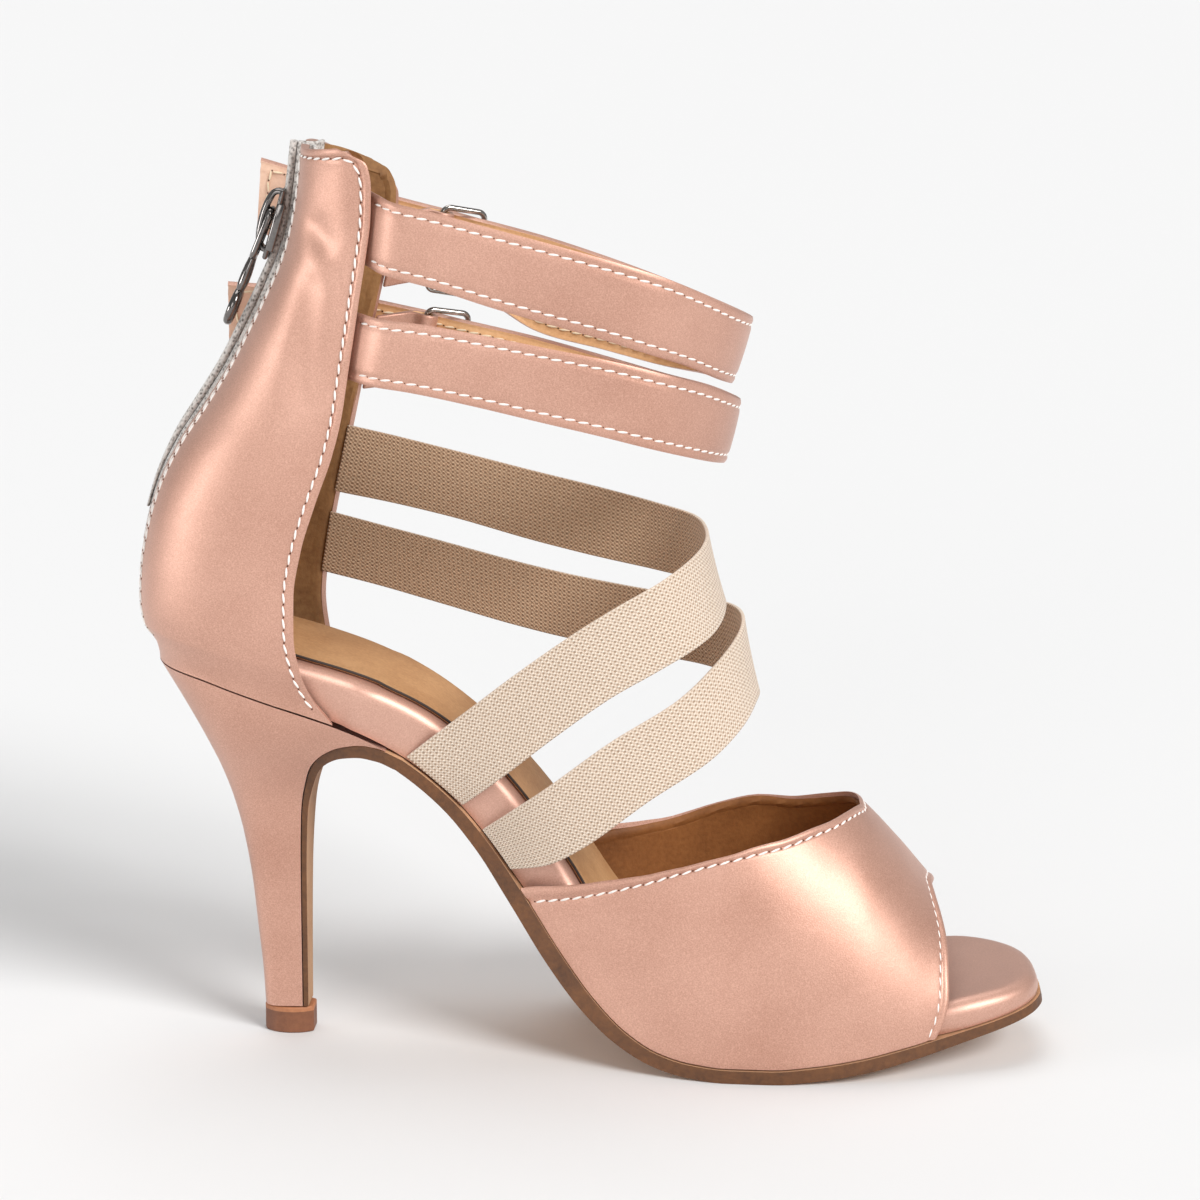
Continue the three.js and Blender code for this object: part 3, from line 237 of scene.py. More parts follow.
# %% Elastic and tape
def make_weave(name, light, deep, rib, weft, depth):
    finish = Finish(name, Roughness=0.85, Sheen_Weight=0.25)
    spot = finish.along()
    turn = 2 * math.pi
    wobble = finish.noise(finish.place(), 700.0, 2.0) * 0.5
    across = (finish.part_of(spot, 1) * (turn / rib) + wobble).sine()
    ahead = (finish.part_of(spot, 0) * (turn / weft) + wobble * 2).sine()
    knots = across * ahead * 0.35 + across * 0.15 + 0.5
    patchy = finish.noise(finish.place(), 1300.0, 3.0)
    finish.feed("Base Color", finish.ramp(knots * 0.75 + patchy * 0.25, (0.22, deep), (0.74, light)))
    finish.feed("Normal", finish.bump(knots * 0.8 + patchy * 0.3, depth, 0.8))
    return finish.material


def make_tape(name, light, deep):
    finish = Finish(name, Roughness=0.8, Sheen_Weight=0.2)
    spot = finish.place()
    fleck = finish.cells(spot, 1100.0)
    fuzz = finish.noise(spot, 1800.0, 3.0, 0.7)
    finish.feed("Base Color", finish.ramp(fleck * 0.6 + fuzz * 0.55, (0.28, deep), (0.62, light)))
    finish.feed("Normal", finish.bump(fleck + fuzz, 0.0003, 0.8))
    return finish.material


ELASTIC = make_weave("elastic", colour(240, 224, 206), colour(168, 138, 112), 1.0, 1.2, 0.0006)
ELASTIC_BACK = make_weave("elastic_inside", colour(222, 190, 158), colour(150, 116, 88), 1.0, 1.2, 0.0006)
TAPE = make_tape("zip_tape", colour(214, 208, 202), colour(92, 84, 78))

# %% [markdown]
# ## Metal, thread and holes
# The buckles are steel and the zip's slider and pull are a darker metal. The thread is off-white or
# pale tan, and each stitch ends in a small dark dot, painted shade standing for its needle hole.


# %% Hard and small finishes
def make_metal(name, tone, rough):
    finish = Finish(name, Metallic=1.0, Roughness=rough)
    scuff = finish.noise(finish.place(), 900.0, 3.0)
    paler = tuple(min(1.0, c * 1.5) for c in tone[:3]) + (1.0,)
    finish.feed("Base Color", finish.ramp(scuff, (0.3, tone), (0.7, paler)))
    finish.feed("Roughness", rough - 0.04 + scuff * 0.1)
    return finish.material


def make_plain(name, tone, rough, scale):
    finish = Finish(name, Roughness=rough)
    grain = finish.noise(finish.place(), scale, 2.0)
    darker = tuple(c * 0.72 for c in tone[:3]) + (1.0,)
    finish.feed("Base Color", finish.blend(grain, darker, tone))
    finish.feed("Normal", finish.bump(grain, 0.0001, 0.4))
    return finish.material


STEEL = make_metal("bright_steel", colour(150, 146, 142), 0.18)
ZIP_METAL = make_metal("gunmetal", colour(112, 108, 106), 0.12)
THREAD = make_plain("thread", colour(255, 250, 244), 0.7, 4000.0)
TAN_THREAD = make_plain("tan_thread", colour(250, 232, 200), 0.7, 4000.0)
# The needle hole's dark colour is painted shade, the shadow inside the hole.
NEEDLE_HOLE_SHADE = make_plain("needle_hole_shade", colour(98, 62, 44), 0.9, 2000.0)
print("finishes", len(bpy.data.materials))

# %% [markdown]
# ## The shoe's own sizes
# These short tables are the last's measures in millimetres, the same that the CAD model uses: the
# plan outline, the heights along the sole, the heel's slices, the counter's rows and the vamp's edges.

# %% Measures
GAP = 0.3
HEEL_BACK, HEEL_CENTRE, TOE_START, TOE_TIP, TIP_Y = -30.5, 0.0, 160.0, 187.3, -2.4
ROUNDNESS = 2.4
SEAT_FRONT = 27.1
COUNTER_WALL, COUNTER_FRONT_X = 2.0, 14.5
VAMP_WALL, STRAP_WALL, ELASTIC_WALL, TAPE_WALL = 1.6, 1.8, 1.0, 0.8
SLIT_HALF, SLIT_ROW = 3.5, 4.5
TIP_HEIGHT, RIM_HEIGHT = 6.7, 1.2

# x, inner, outer
OUTLINE = [
    (0, 24, 24), (14, 22.4, 23.4), (21, 20.9, 22.5), (31, 19.2, 21.8), (43, 18.2, 21.8), (52, 18.8, 23.3),
    (60, 20.2, 25.6), (70, 23, 29.2), (78, 26, 32.3), (86, 29, 35.4), (94, 31.5, 38), (102, 33.4, 40.2),
    (111, 35, 42), (122, 35.3, 43.1), (132, 34.6, 43.2), (143, 32.8, 42.6), (154, 29.2, 41), (164, 24.7, 37.8),
    (170, 21.8, 34.4), (176, 18.9, 30.2), (181, 15.6, 24.8), (184.5, 11.8, 18), (186.5, 7.4, 9.2),
    (187.3, 2.4, -2.4),
]

# x, top of the leather, thickness of the leather, thickness of the insole
SOLE = [
    (-30.5, 97, 1.8, 9.5), (-19, 95.4, 1.8, 10), (-8.5, 92.4, 1.8, 10.4), (0, 89.6, 1.8, 10.8),
    (14, 84.6, 1.8, 11.4), (21, 81.4, 2.3, 11.7), (31, 75.4, 3, 12), (43, 65.2, 3.2, 12), (52, 54.6, 3.5, 12),
    (60, 43, 4, 11.8), (70, 27.8, 4.2, 11), (78, 17.6, 4, 10.2), (86, 10.2, 3.6, 9.3), (94, 5.8, 3.3, 8.4),
    (102, 3.9, 3.3, 7.7), (111, 3.3, 3.3, 7.1), (122, 3.3, 3.3, 6.6), (132, 4.1, 3.3, 6.2),
    (143, 5.6, 3.3, 6.2), (154, 7.6, 3.1, 6.7), (164, 9.6, 2.8, 7.2), (176, 12.1, 2.4, 7.2),
    (187.3, 14.8, 2.2, 7),
]

# x, z, inner, outer, thickness: the leather from the waist round the arc and down the heel's front
BREAST_ROWS = [
    (31, 75.4, 19.2, 21.8, 3), (25.6, 77.9, 19.6, 21.8, 3), (20.6, 78.7, 19.4, 21.2, 2.9),
    (15.6, 77.9, 18.4, 19.6, 2.7), (11.4, 75.7, 16.6, 17.3, 2.4), (8.2, 72, 14, 14.4, 2.1),
    (6.4, 67, 11.2, 11.4, 1.8), (4.9, 59, 8.5, 8.6, 1.4), (4.2, 42, 6.2, 6.2, 1.2), (4, 25, 5.1, 5.1, 1.2),
    (3.9, 7, 4.4, 4.4, 1.2),
]

# back x, back z, place on the breast strip, half width, how far the seat's outline rules
HEEL_ROWS = [
    (-6.1, 7, 10, 4.6, 0), (-6.6, 16, 9.5, 4.7, 0), (-7.7, 27.5, 8.9, 5.3, 0), (-8.9, 40, 8.2, 6.5, 0),
    (-10.7, 51.5, 7.5, 8.3, 0), (-13, 61.2, 6.7, 10.9, 0), (-16, 70.2, 5.6, 14.2, 0.1),
    (-19.9, 78.8, 4.1, 17.8, 0.4), (-24.9, 87.8, 2.3, 21.2, 0.75), (-30.5, 96.95, 0.75, 24, 1),
]

# back x, back z, inner front x and z, outer front x and z, half width, x of the widest point
COUNTER_ROWS = [
    (-30.5, 97.3, 14.5, 84.7, 14.5, 84.7, 24, 0), (-32.5, 101.5, 10.4, 90.6, 10.6, 90.4, 25.4, 0),
    (-34.3, 106.5, 7.6, 98, 7.8, 97.6, 26.8, 0), (-35.1, 112.5, 6.1, 107.5, 6.8, 106, 27.8, 0),
    (-34.7, 120.5, 6.3, 118, 7.6, 115.5, 28.2, 1), (-33.1, 129.5, 8.2, 129, 9.6, 126.5, 28.2, 3),
    (-30, 140, 11.8, 140.5, 12.2, 139, 28, 6), (-24.8, 150.5, 15.9, 152, 14.8, 151, 27.6, 9),
    (-18, 160.5, 18.3, 161.5, 16.8, 160.5, 27.2, 13), (-12, 169.8, 19.9, 171.5, 18.6, 169.5, 26.8, 16),
    (-6.6, 179.8, 21.6, 182, 20.8, 179, 26.5, 19), (-2.2, 188.5, 23, 191, 22.7, 187, 26.3, 22),
    (1.8, 197.5, 24.5, 200, 24.7, 195, 26.2, 24), (4.3, 207, 25.7, 209, 26.2, 202.5, 26.1, 26),
    (5.5, 214.5, 25.9, 216.3, 26.4, 207.2, 26, 26), (6.2, 220.2, 24.9, 221.9, 25, 210.6, 26, 26),
    (6.6, 223.6, 20.7, 225.9, 20.6, 213, 26, 26),
]

# angle over the foot, throat x inner and outer, toe opening x inner and outer
VAMP_ROWS = [
    (0, 59.8, 62, 161.6, 160), (6, 66.6, 67.6, 163.2, 161.8), (14, 76.1, 76.4, 164.2, 162.8),
    (21, 85.1, 86.9, 164.6, 163.2), (27, 94.4, 99, 164.6, 163.4), (32, 103.7, 110.6, 164.5, 163.3),
    (38, 113.6, 120.4, 164.4, 163.1), (47, 122.8, 129.1, 164.2, 162.8), (56, 129.4, 134.6, 163.8, 162.4),
    (67, 135.4, 138.9, 162.8, 161.6), (79, 139.5, 141.3, 161.4, 160.8), (90, 142, 142, 160.2, 160.2),
]

# x, height of the foot's crown over the sole
CROWN = [
    (58, 105), (74, 105), (92, 98), (105, 91), (115, 83), (125, 71.4), (135, 60.6), (143, 52.7), (152, 41.2),
    (160, 29.9), (166, 22.6),
]

# %% [markdown]
# ## Reading the tables
# A smooth curve runs through a table's column without overshooting any of its rows. The outline is
# read against the root of the distance to the toe's tip, so that its tip comes out round.


# %% Curves through tables
def mix(a, b, t):
    return a + (b - a) * t


def clamp(x, low, high):
    return max(low, min(high, x))


def ease(x, low, high):
    t = clamp((x - low) / (high - low), 0, 1)
    return t * t * (3 - 2 * t)


def curve(rows, column, key=lambda row: row[0]):
    at = [key(row) for row in rows]
    value = [row[column] for row in rows]
    step = [b - a for a, b in zip(at, at[1:])]
    rise = [(b - a) / s for a, b, s in zip(value, value[1:], step)]

    def slope_at(k):
        before, after = rise[max(0, k - 1)], rise[min(len(rise) - 1, k)]
        return 0 if before * after <= 0 else 2 * before * after / (before + after)

    slope = [slope_at(k) for k in range(len(at))]

    def read(x):
        x = clamp(x, at[0], at[-1])
        k = next((n - 1 for n, a in enumerate(at) if a > x), len(step) - 1)
        t = (x - at[k]) / step[k]
        ends = value[k] * (1 + 2 * t) * (1 - t) ** 2 + value[k + 1] * t * t * (3 - 2 * t)
        return ends + step[k] * (slope[k] * t * (1 - t) ** 2 - slope[k + 1] * t * t * (1 - t))

    return read


def by_row(rows):
    """Every column of a table, read against its row number."""
    numbered = [(n, *row) for n, row in enumerate(rows)]
    return [curve(numbered, column) for column in range(1, len(numbered[0]))]


def near_toe(x):
    return -math.sqrt(max(0, TOE_TIP - x))


outline_of = {side: curve(OUTLINE, column, lambda row: near_toe(row[0])) for side, column in
              (("inner", 1), ("outer", 2))}
sole_top, sole_leather, sole_pad = (curve(SOLE, column) for column in (1, 2, 3))
breast = by_row(BREAST_ROWS)
heel = by_row(HEEL_ROWS)
counter = by_row(COUNTER_ROWS)
crown_height = curve(CROWN, 1)
SIGN = {"inner": -1, "outer": 1}


def edge_y(side, x):
    """The y of one edge of the sole's plan outline at x."""
    back = clamp((HEEL_CENTRE - x) / (HEEL_CENTRE - HEEL_BACK), 0, 1)
    return SIGN[side] * (1 - back ** ROUNDNESS) ** (1 / ROUNDNESS) * outline_of[side](near_toe(x))


def inset_edge_y(side, x, inset):
    along = (x - HEEL_BACK - inset) / (TOE_TIP - HEEL_BACK - 2 * inset)
    y = edge_y(side, mix(HEEL_BACK, TOE_TIP, along))
    full = abs(edge_y(side, clamp(x, HEEL_CENTRE, TOE_START)))
    middle = TIP_Y * ease(x, TOE_START - 20, TOE_TIP)
    return middle + (y - middle) * (1 - inset / full)


def sole_normal(x):
    return Vector((-(sole_top(x + 0.5) - sole_top(x - 0.5)), 0, 1)).normalized()


print("waist edge", round(edge_y("inner", 43), 1), round(edge_y("outer", 43), 1))

# %% [markdown]
# ## Pressing a grid onto a form
# Nearly every soft part is a sheet. A flat bmesh grid is made first, with UVs in real millimetres,
# and each vertex then moves to its place on the form. Solidify gives it a wall and a lining, and a
# bevel rolls its rim.


# %% Sheets
def press(columns, rows, place, size=(1, 1), keep=None, paint=None):
    """A grid of columns by rows moved to place(u, v) in millimetres, with u and v from 0 to 1."""
    bm = bmesh.new()
    cloth = bm.loops.layers.uv.new("cloth")
    bmesh.ops.create_grid(bm, x_segments=columns, y_segments=rows, size=0.5, calc_uvs=True)
    for face in bm.faces:
        for loop in face.loops:
            loop[cloth].uv = (loop[cloth].uv.x * size[0], loop[cloth].uv.y * size[1])
    if paint:
        for face in bm.faces:
            middle = face.calc_center_median()
            face.material_index = paint(middle.x + 0.5, middle.y + 0.5)
    if keep:
        middles = [(face, face.calc_center_median()) for face in bm.faces]
        open_cells = [face for face, m in middles if not keep(m.x + 0.5, m.y + 0.5)]
        bmesh.ops.delete(bm, geom=open_cells, context="FACES")
    for vert in bm.verts:
        vert.co = place(vert.co.x + 0.5, vert.co.y + 0.5) * MM
    return bm


def face_away_from(bm, centre):
    """Turns an open sheet's faces so that they look away from a point, given in millimetres."""
    centre = Vector(centre) * MM
    bm.normal_update()
    outward = sum(f.normal.dot(f.calc_center_median() - centre) * f.calc_area() for f in bm.faces)
    if outward < 0:
        bmesh.ops.reverse_faces(bm, faces=bm.faces[:])


def close(bm, distance=0.01):
    """Merges a wrapped grid's seam, fills its open ends and points its faces outwards."""
    bmesh.ops.remove_doubles(bm, verts=bm.verts[:], dist=distance * MM)
    rim = [edge for edge in bm.edges if edge.is_boundary]
    if rim:
        bmesh.ops.holes_fill(bm, edges=rim, sides=0)
    bmesh.ops.recalc_face_normals(bm, faces=bm.faces[:])


def add_object(name, data):
    made = bpy.data.objects.new(name, data)
    bpy.context.scene.collection.objects.link(made)
    return made


def piece(name, bm, materials, nodes=(), body=SHOE, sharp=40):
    """Turns a bmesh into a finished piece that rides on a body."""
    mesh = bpy.data.meshes.new(name)
    bm.to_mesh(mesh)
    bm.free()
    mesh.polygons.foreach_set("use_smooth", [True] * len(mesh.polygons))
    mesh.set_sharp_from_angle(angle=math.radians(sharp))
    made = add_object(name, mesh)
    for material in materials:
        mesh.materials.append(material)
    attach(made, body)
    if nodes:
        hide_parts(*nodes)
    return made


def round_edges(made, width, segments):
    bevel = made.modifiers.new("rolled edges", "BEVEL")
    bevel.width = width * MM
    bevel.segments = segments
    bevel.limit_method = "ANGLE"
    bevel.angle_limit = math.radians(50)
    bevel.harden_normals = False


def walled(name, bm, centre, materials, node, wall, roll, segments=3):
    """An open sheet as a piece, with a lined wall behind its outer face and a rolled rim.

    The outer face is the one that looks away from the centre. All sizes are in millimetres."""
    face_away_from(bm, centre)
    made = piece(name, bm, materials, [node], sharp=60)
    solid = made.modifiers.new("wall", "SOLIDIFY")
    solid.thickness = wall * MM
    solid.offset = -1
    solid.use_even_offset = False
    solid.material_offset = 1
    solid.material_offset_rim = 0
    if roll:
        round_edges(made, roll, segments)
    print(name, len(made.data.polygons), "faces")
    return made


# %% [markdown]
# ## Stitches
# A stitch is a short plump dash of thread that dips into a needle hole at both ends; each hole is a
# small flat dark dot, painted shade. One dash is made as a small ball pulled long, and it is set down
# along a course, turned to lie on the surface.

# %% Sewing
STITCH_PITCH = 3.2
STITCH_LENGTH = 2.75
STITCH_LIFT, HOLE_LIFT = 0.08, 0.04
SLANT = math.radians(9)


def small_shape(name, size):
    """A little ball to be set down many times, stretched to its size in millimetres."""
    bm = bmesh.new()
    bmesh.ops.create_uvsphere(bm, u_segments=8, v_segments=5, radius=1)
    bmesh.ops.scale(bm, verts=bm.verts[:], vec=size)
    for face in bm.faces:
        face.smooth = True
    mesh = bpy.data.meshes.new(name)
    bm.to_mesh(mesh)
    bm.free()
    return mesh


DASH = small_shape("dash", (STITCH_LENGTH / 2, 0.3, 0.26))
# A flat dark dot laid on the surface: painted shade for a needle hole.
HOLE_SHADE_DOT = small_shape("hole", (0.26, 0.22, 0.12))


def set_down(bm, mesh, matrix, material):
    count = len(bm.verts)
    faces = len(bm.faces)
    bm.from_mesh(mesh)
    bm.verts.ensure_lookup_table()
    bm.faces.ensure_lookup_table()
    bmesh.ops.transform(bm, matrix=matrix, verts=bm.verts[count:])
    for face in bm.faces[faces:]:
        face.material_index = material


def lying_on(spot, ahead, outward):
    """A matrix whose x runs ahead and whose z points out of the surface. The spot is in millimetres."""
    ahead = ahead.normalized()
    across = outward.cross(ahead).normalized()
    up = ahead.cross(across)
    matrix = Matrix((ahead, across, up)).transposed().to_4x4() @ Matrix.Scale(MM, 4)
    matrix.translation = spot * MM
    return matrix


def even_course(spots, normals, pitch):
    """Spots and normals every pitch millimetres along a line of samples."""
    made, run, due = [], 0.0, 0.0
    for k in range(len(spots) - 1):
        step = (spots[k + 1] - spots[k]).length
        while step > 0 and due <= run + step:
            t = (due - run) / step
            made.append((spots[k].lerp(spots[k + 1], t), normals[k].lerp(normals[k + 1], t).normalized()))
            due += pitch
        run += step
    return made


def course(count, spot_at):
    """The samples of a stitch line: the spots and the normals that spot_at(0 to 1) gives."""
    pairs = [spot_at(k / count) for k in range(count + 1)]
    return [spot for spot, _ in pairs], [facing for _, facing in pairs]


def sew(name, courses, thread=THREAD):
    """Rows of stitches. A course is a pair of lists: sample spots and the normals there."""
    bm = bmesh.new()
    total = 0
    for spots, normals in courses:
        stops = even_course(spots, normals, STITCH_PITCH)
        for (start, up_a), (end, up_b) in zip(stops, stops[1:]):
            up = (up_a + up_b).normalized()
            middle = (start + end) / 2 + up * STITCH_LIFT
            slanted = Matrix.Rotation(SLANT, 3, up) @ (end - start)
            set_down(bm, DASH, lying_on(middle, slanted, up), 0)
            set_down(bm, HOLE_SHADE_DOT, lying_on(start + up_a * HOLE_LIFT, end - start, up_a), 1)
            total += 1
    print(name, total, "stitches")
    return piece(name, bm, [thread, NEEDLE_HOLE_SHADE])


# %% [markdown]
# ## The outsole
# One strip of leather runs from the toe under the foot to the waist, round the arc and down the
# front of the heel. The grid wraps round its section, and each band of faces gets its own leather:
# the stained edge, the brushed underside and the strip on the heel's front.


# %% Outsole
def flat_station(x, bulge):
    return x, sole_top(x), edge_y("inner", x), edge_y("outer", x), sole_leather(x), bulge


def sole_stations():
    """The strip's spine from toe to heel: x, z, inner y, outer y, thickness, and bulge underneath."""
    made = []
    rounding = 26
    for k in range(1, rounding + 1):
        x = TOE_TIP - (TOE_TIP - TOE_START) * (1 - math.cos(k / rounding * math.pi / 2))
        made.append(flat_station(x, 0))
    x = TOE_START - 2
    while x > 32:
        made.append(flat_station(x, 2 * ease(100 - x, 5, 45)))
        x -= 2
    last = len(BREAST_ROWS) - 1
    for k in range(61):
        row = k / 60 * last
        x, z, inner, outer, leather = (column(row) for column in breast)
        made.append((x, z, -inner, outer, leather, 2 * (1 - ease(row, 0, 4))))
    return made


STATIONS = sole_stations()
LAST_STATION = len(STATIONS) - 1
SOLE_RING = [(-1, 0), (-1, 0.5), (-1, 1), *[(-1 + k / 6, 1) for k in range(1, 12)], (1, 1), (1, 0.5), (1, 0),
             (0.5, 0), (0, 0), (-0.5, 0), (-1, 0)]
RING_STEPS = len(SOLE_RING) - 1
INNER_WALL_END, OUTER_WALL = 2, range(14, 16)


def outsole_place(u, v):
    k = round(v * LAST_STATION)
    x, z, inner, outer, leather, bulge = STATIONS[k]
    before, after = STATIONS[max(0, k - 1)], STATIONS[min(LAST_STATION, k + 1)]
    up = Vector((after[1] - before[1], 0, before[0] - after[0])).normalized()
    if k == LAST_STATION:
        up = Vector((-1, 0, 0))
    if 110 < x < 123 and z < 10:
        up = Vector((0, 0, 1))
    across, depth = SOLE_RING[round(u * RING_STEPS)]
    y = mix(inner, outer, (across + 1) / 2)
    return Vector((x, y, z)) - up * (depth * (leather + bulge * (1 - across * across)))


def sole_paint(u, v):
    """Edge, suede or the strip on the heel's front, as numbers of the piece's materials."""
    x, z = STATIONS[int(v * LAST_STATION)][:2]
    segment = int(u * RING_STEPS)
    if segment < INNER_WALL_END or segment in OUTER_WALL:
        return 0
    return 2 if x < 30 and z < 76 else 1


bm = press(RING_STEPS, LAST_STATION, outsole_place, (160, 330), paint=sole_paint)
close(bm)
outsole = piece("leather_outsole", bm, [SOLE_EDGE, SUEDE, BREAST], ["outsole"])
round_edges(outsole, 0.35, 2)
print("outsole", len(outsole.data.polygons), "faces")

# %% [markdown]
# ## The heel
# The heel is covered in the same satin. Each slice is round at the back and meets the leather strip
# in front. The slices are stacked by pressing a grid round them, from the tip to the seat.


# %% Heel
HEEL_COLUMNS = 56
WIDEST = 0.42


def heel_place(u, v):
    half_count = HEEL_COLUMNS // 2
    number = v * (len(HEEL_ROWS) - 1)
    k = round(u * HEEL_COLUMNS)
    side = "inner" if k <= half_count else "outer"
    step = k if k <= half_count else HEEL_COLUMNS - k
    q = (1 - math.cos(math.pi * step / half_count)) / 2
    back_x, back_z, row, half, seat = (column(number) for column in heel)
    ahead = Vector((breast[0](row + 0.05) - breast[0](row - 0.05), 0,
                    breast[1](row + 0.05) - breast[1](row - 0.05))).normalized()
    inward = Vector((-1, 0, 0)) if number < 0.01 else Vector((ahead.z, 0, -ahead.x))
    front = Vector((breast[0](row), 0, breast[1](row))) + inward * GAP
    spot = Vector((back_x, 0, back_z)).lerp(front, q)
    seat_x = mix(HEEL_BACK, SEAT_FRONT, q)
    spot.z += seat * (sole_top(seat_x) - mix(sole_top(HEEL_BACK), sole_top(SEAT_FRONT), q))
    behind = (WIDEST - min(q, WIDEST)) / WIDEST
    before = max(0, (q - WIDEST) / (1 - WIDEST))
    front_half = breast[2 if side == "inner" else 3](row)
    plain = (1 - behind ** ROUNDNESS) ** (1 / ROUNDNESS) * mix(half, front_half, before ** 2)
    spot.y = SIGN[side] * mix(plain, abs(edge_y(side, seat_x)), seat)
    return spot


bm = press(HEEL_COLUMNS, 60, heel_place, (60, 92))
close(bm)
heel_piece = piece("satin_heel", bm, [SATIN], ["heel"], sharp=50)
round_edges(heel_piece, 0.4, 2)
print("heel", len(heel_piece.data.polygons), "faces")

# %% [markdown]
# ## The heel's tip
# The shoe stands on a small rubber block, round behind and flat in front. It starts as a circle that
# is cut straight in front, and it is drawn up in two steps, because its upper rim is paler.


# %% Heel tip
def make_tip():
    bm = bmesh.new()
    back, front, half, round_reach = -6.3, 6.2, 4.95, 6.9
    bmesh.ops.create_circle(bm, segments=44, radius=1, cap_ends=True)
    bmesh.ops.scale(bm, verts=bm.verts[:], vec=(round_reach, half, 1))
    bmesh.ops.translate(bm, verts=bm.verts[:], vec=(back + round_reach, 0, 0))
    whole = bm.verts[:] + bm.edges[:] + bm.faces[:]
    bmesh.ops.bisect_plane(bm, geom=whole, clear_outer=True, plane_co=(front, 0, 0), plane_no=(1, 0, 0))
    level = 0.0
    for height in (0.6, TIP_HEIGHT - RIM_HEIGHT, TIP_HEIGHT):
        top = max(bm.faces, key=lambda face: face.calc_center_median().z)
        grown = bmesh.ops.extrude_face_region(bm, geom=[top])
        raised = [g for g in grown["geom"] if isinstance(g, bmesh.types.BMVert)]
        bmesh.ops.translate(bm, verts=raised, vec=(0, 0, height - level))
        if level > 0:
            bmesh.ops.delete(bm, geom=[top], context="FACES_ONLY")
        level = height
    bmesh.ops.scale(bm, verts=bm.verts[:], vec=(MM, MM, MM))
    bmesh.ops.recalc_face_normals(bm, faces=bm.faces[:])
    for face in bm.faces:
        face.material_index = 1 if face.calc_center_median().z > (TIP_HEIGHT - RIM_HEIGHT - 0.05) * MM else 0
    return bm


tip = piece("rubber_heel_tip", make_tip(), [RUBBER, TIP_RIM], ["heel_tip"])
round_edges(tip, 0.35, 2)
print("tip", [round(d / MM, 1) for d in tip.dimensions])

# %% [markdown]
# ## The insole
# A thick padded board, wrapped in satin, carries the foot. It is pressed in rings that follow the
# sole's outline: under the board, up its wall, round its soft shoulder and in over the top.


# %% Padded boards
def insole_inset(x):
    under_counter = 3 - 1.4 * ease(x, 13, 18)
    return under_counter + 1.4 * ease(x, 55, 59.5) - 1.4 * ease(x, 160, 172) - 1.3 * ease(x, 150, 170)


NOSE_DROP = 1.6


def board_rings(shoulder):
    """Rings from the middle underneath, up the wall, over the shoulder and in over the top.

    Each is (inset, share of the wall's height, drop under the top, scale about the middle)."""
    turns = [math.radians(15 * k) for k in range(7)]
    under = [(0, 0, None, 0), (0, 0, None, 0.5), (0.5, 0, None, 1), (0, 0.5, None, 1)]
    edge = [(shoulder * (1 - math.cos(a)), 1, shoulder * (1 - math.sin(a)), 1) for a in turns]
    top = [(shoulder, 1, 0, 1 - k / 9) for k in range(1, 10)]
    return under + edge + top


def board_place(rings, floor, height, shoulder, extra, front):
    def place(u, v):
        inset, share, drop, scale = rings[round(v * (len(rings) - 1))]
        side = "inner" if u <= 0.5 else "outer"
        along = (1 - math.cos(math.pi * (2 * u if u <= 0.5 else 2 - 2 * u))) / 2
        rough = mix(HEEL_BACK, min(TOE_TIP, front), along)
        inset += insole_inset(rough) + extra
        x = mix(HEEL_BACK + inset, min(TOE_TIP - inset, front - (inset - insole_inset(rough) - extra)), along)
        y = inset_edge_y(side, x, inset)
        if front < TOE_TIP:
            y *= (1 - clamp((along - 0.9) / 0.1, 0, 1) ** 2.2) ** 0.5
        middle = TIP_Y * ease(x, TOE_START - 20, TOE_TIP)
        x = mix(clamp(x, HEEL_BACK + 24, min(TOE_TIP - 28, front - 20)), x, scale)
        y = middle + (y - middle) * scale
        tall = height(x)
        rise = (tall - shoulder) * share if drop is None else tall - drop
        rise -= NOSE_DROP * ease(x, 166, TOE_TIP) * rise / tall if front >= TOE_TIP else 0
        spot = Vector((x, 0, sole_top(x))) + sole_normal(x) * (floor(x) + rise)
        spot.y = y
        return spot

    return place


PAD_SHOULDER = 3.4
rings = board_rings(PAD_SHOULDER)
place = board_place(rings, lambda x: GAP, sole_pad, PAD_SHOULDER, 0, TOE_TIP)
bm = press(220, len(rings) - 1, place, (420, 120))
close(bm, 0.02)
insole = piece("satin_insole", bm, [SATIN_SMOOTH], ["insole"], sharp=70)
print("insole", len(insole.data.polygons), "faces")

# %% [markdown]
# ## The sock
# A thin tan sock is glued on the insole from the heel to the ball. A fine dark line runs round it.

# %% Sock
SOCK_INSET, SOCK_WALL, SOCK_FRONT, SOCK_SHOULDER = 4.2, 1.0, 152.0, 0.4
rings = board_rings(SOCK_SHOULDER)
place = board_place(rings, lambda x: 2 * GAP + sole_pad(x), lambda x: SOCK_WALL, SOCK_SHOULDER, SOCK_INSET,
                    SOCK_FRONT)
bm = press(220, len(rings) - 1, place, (420, 90),
           paint=lambda u, v: 1 if 3 <= int(v * (len(rings) - 1)) < 8 else 0)
close(bm, 0.02)
sock = piece("tan_sock", bm, [SOCK, SOCK_LINE], ["sock"], sharp=70)
print("sock", len(sock.data.polygons), "faces")

# %% [markdown]
# ## The counter
# The closed back of the shoe is one satin wall from front edge to front edge, lined in brown leather,
# and slit down the back for the zip. The grid's two middle columns are left out above the slit's end.


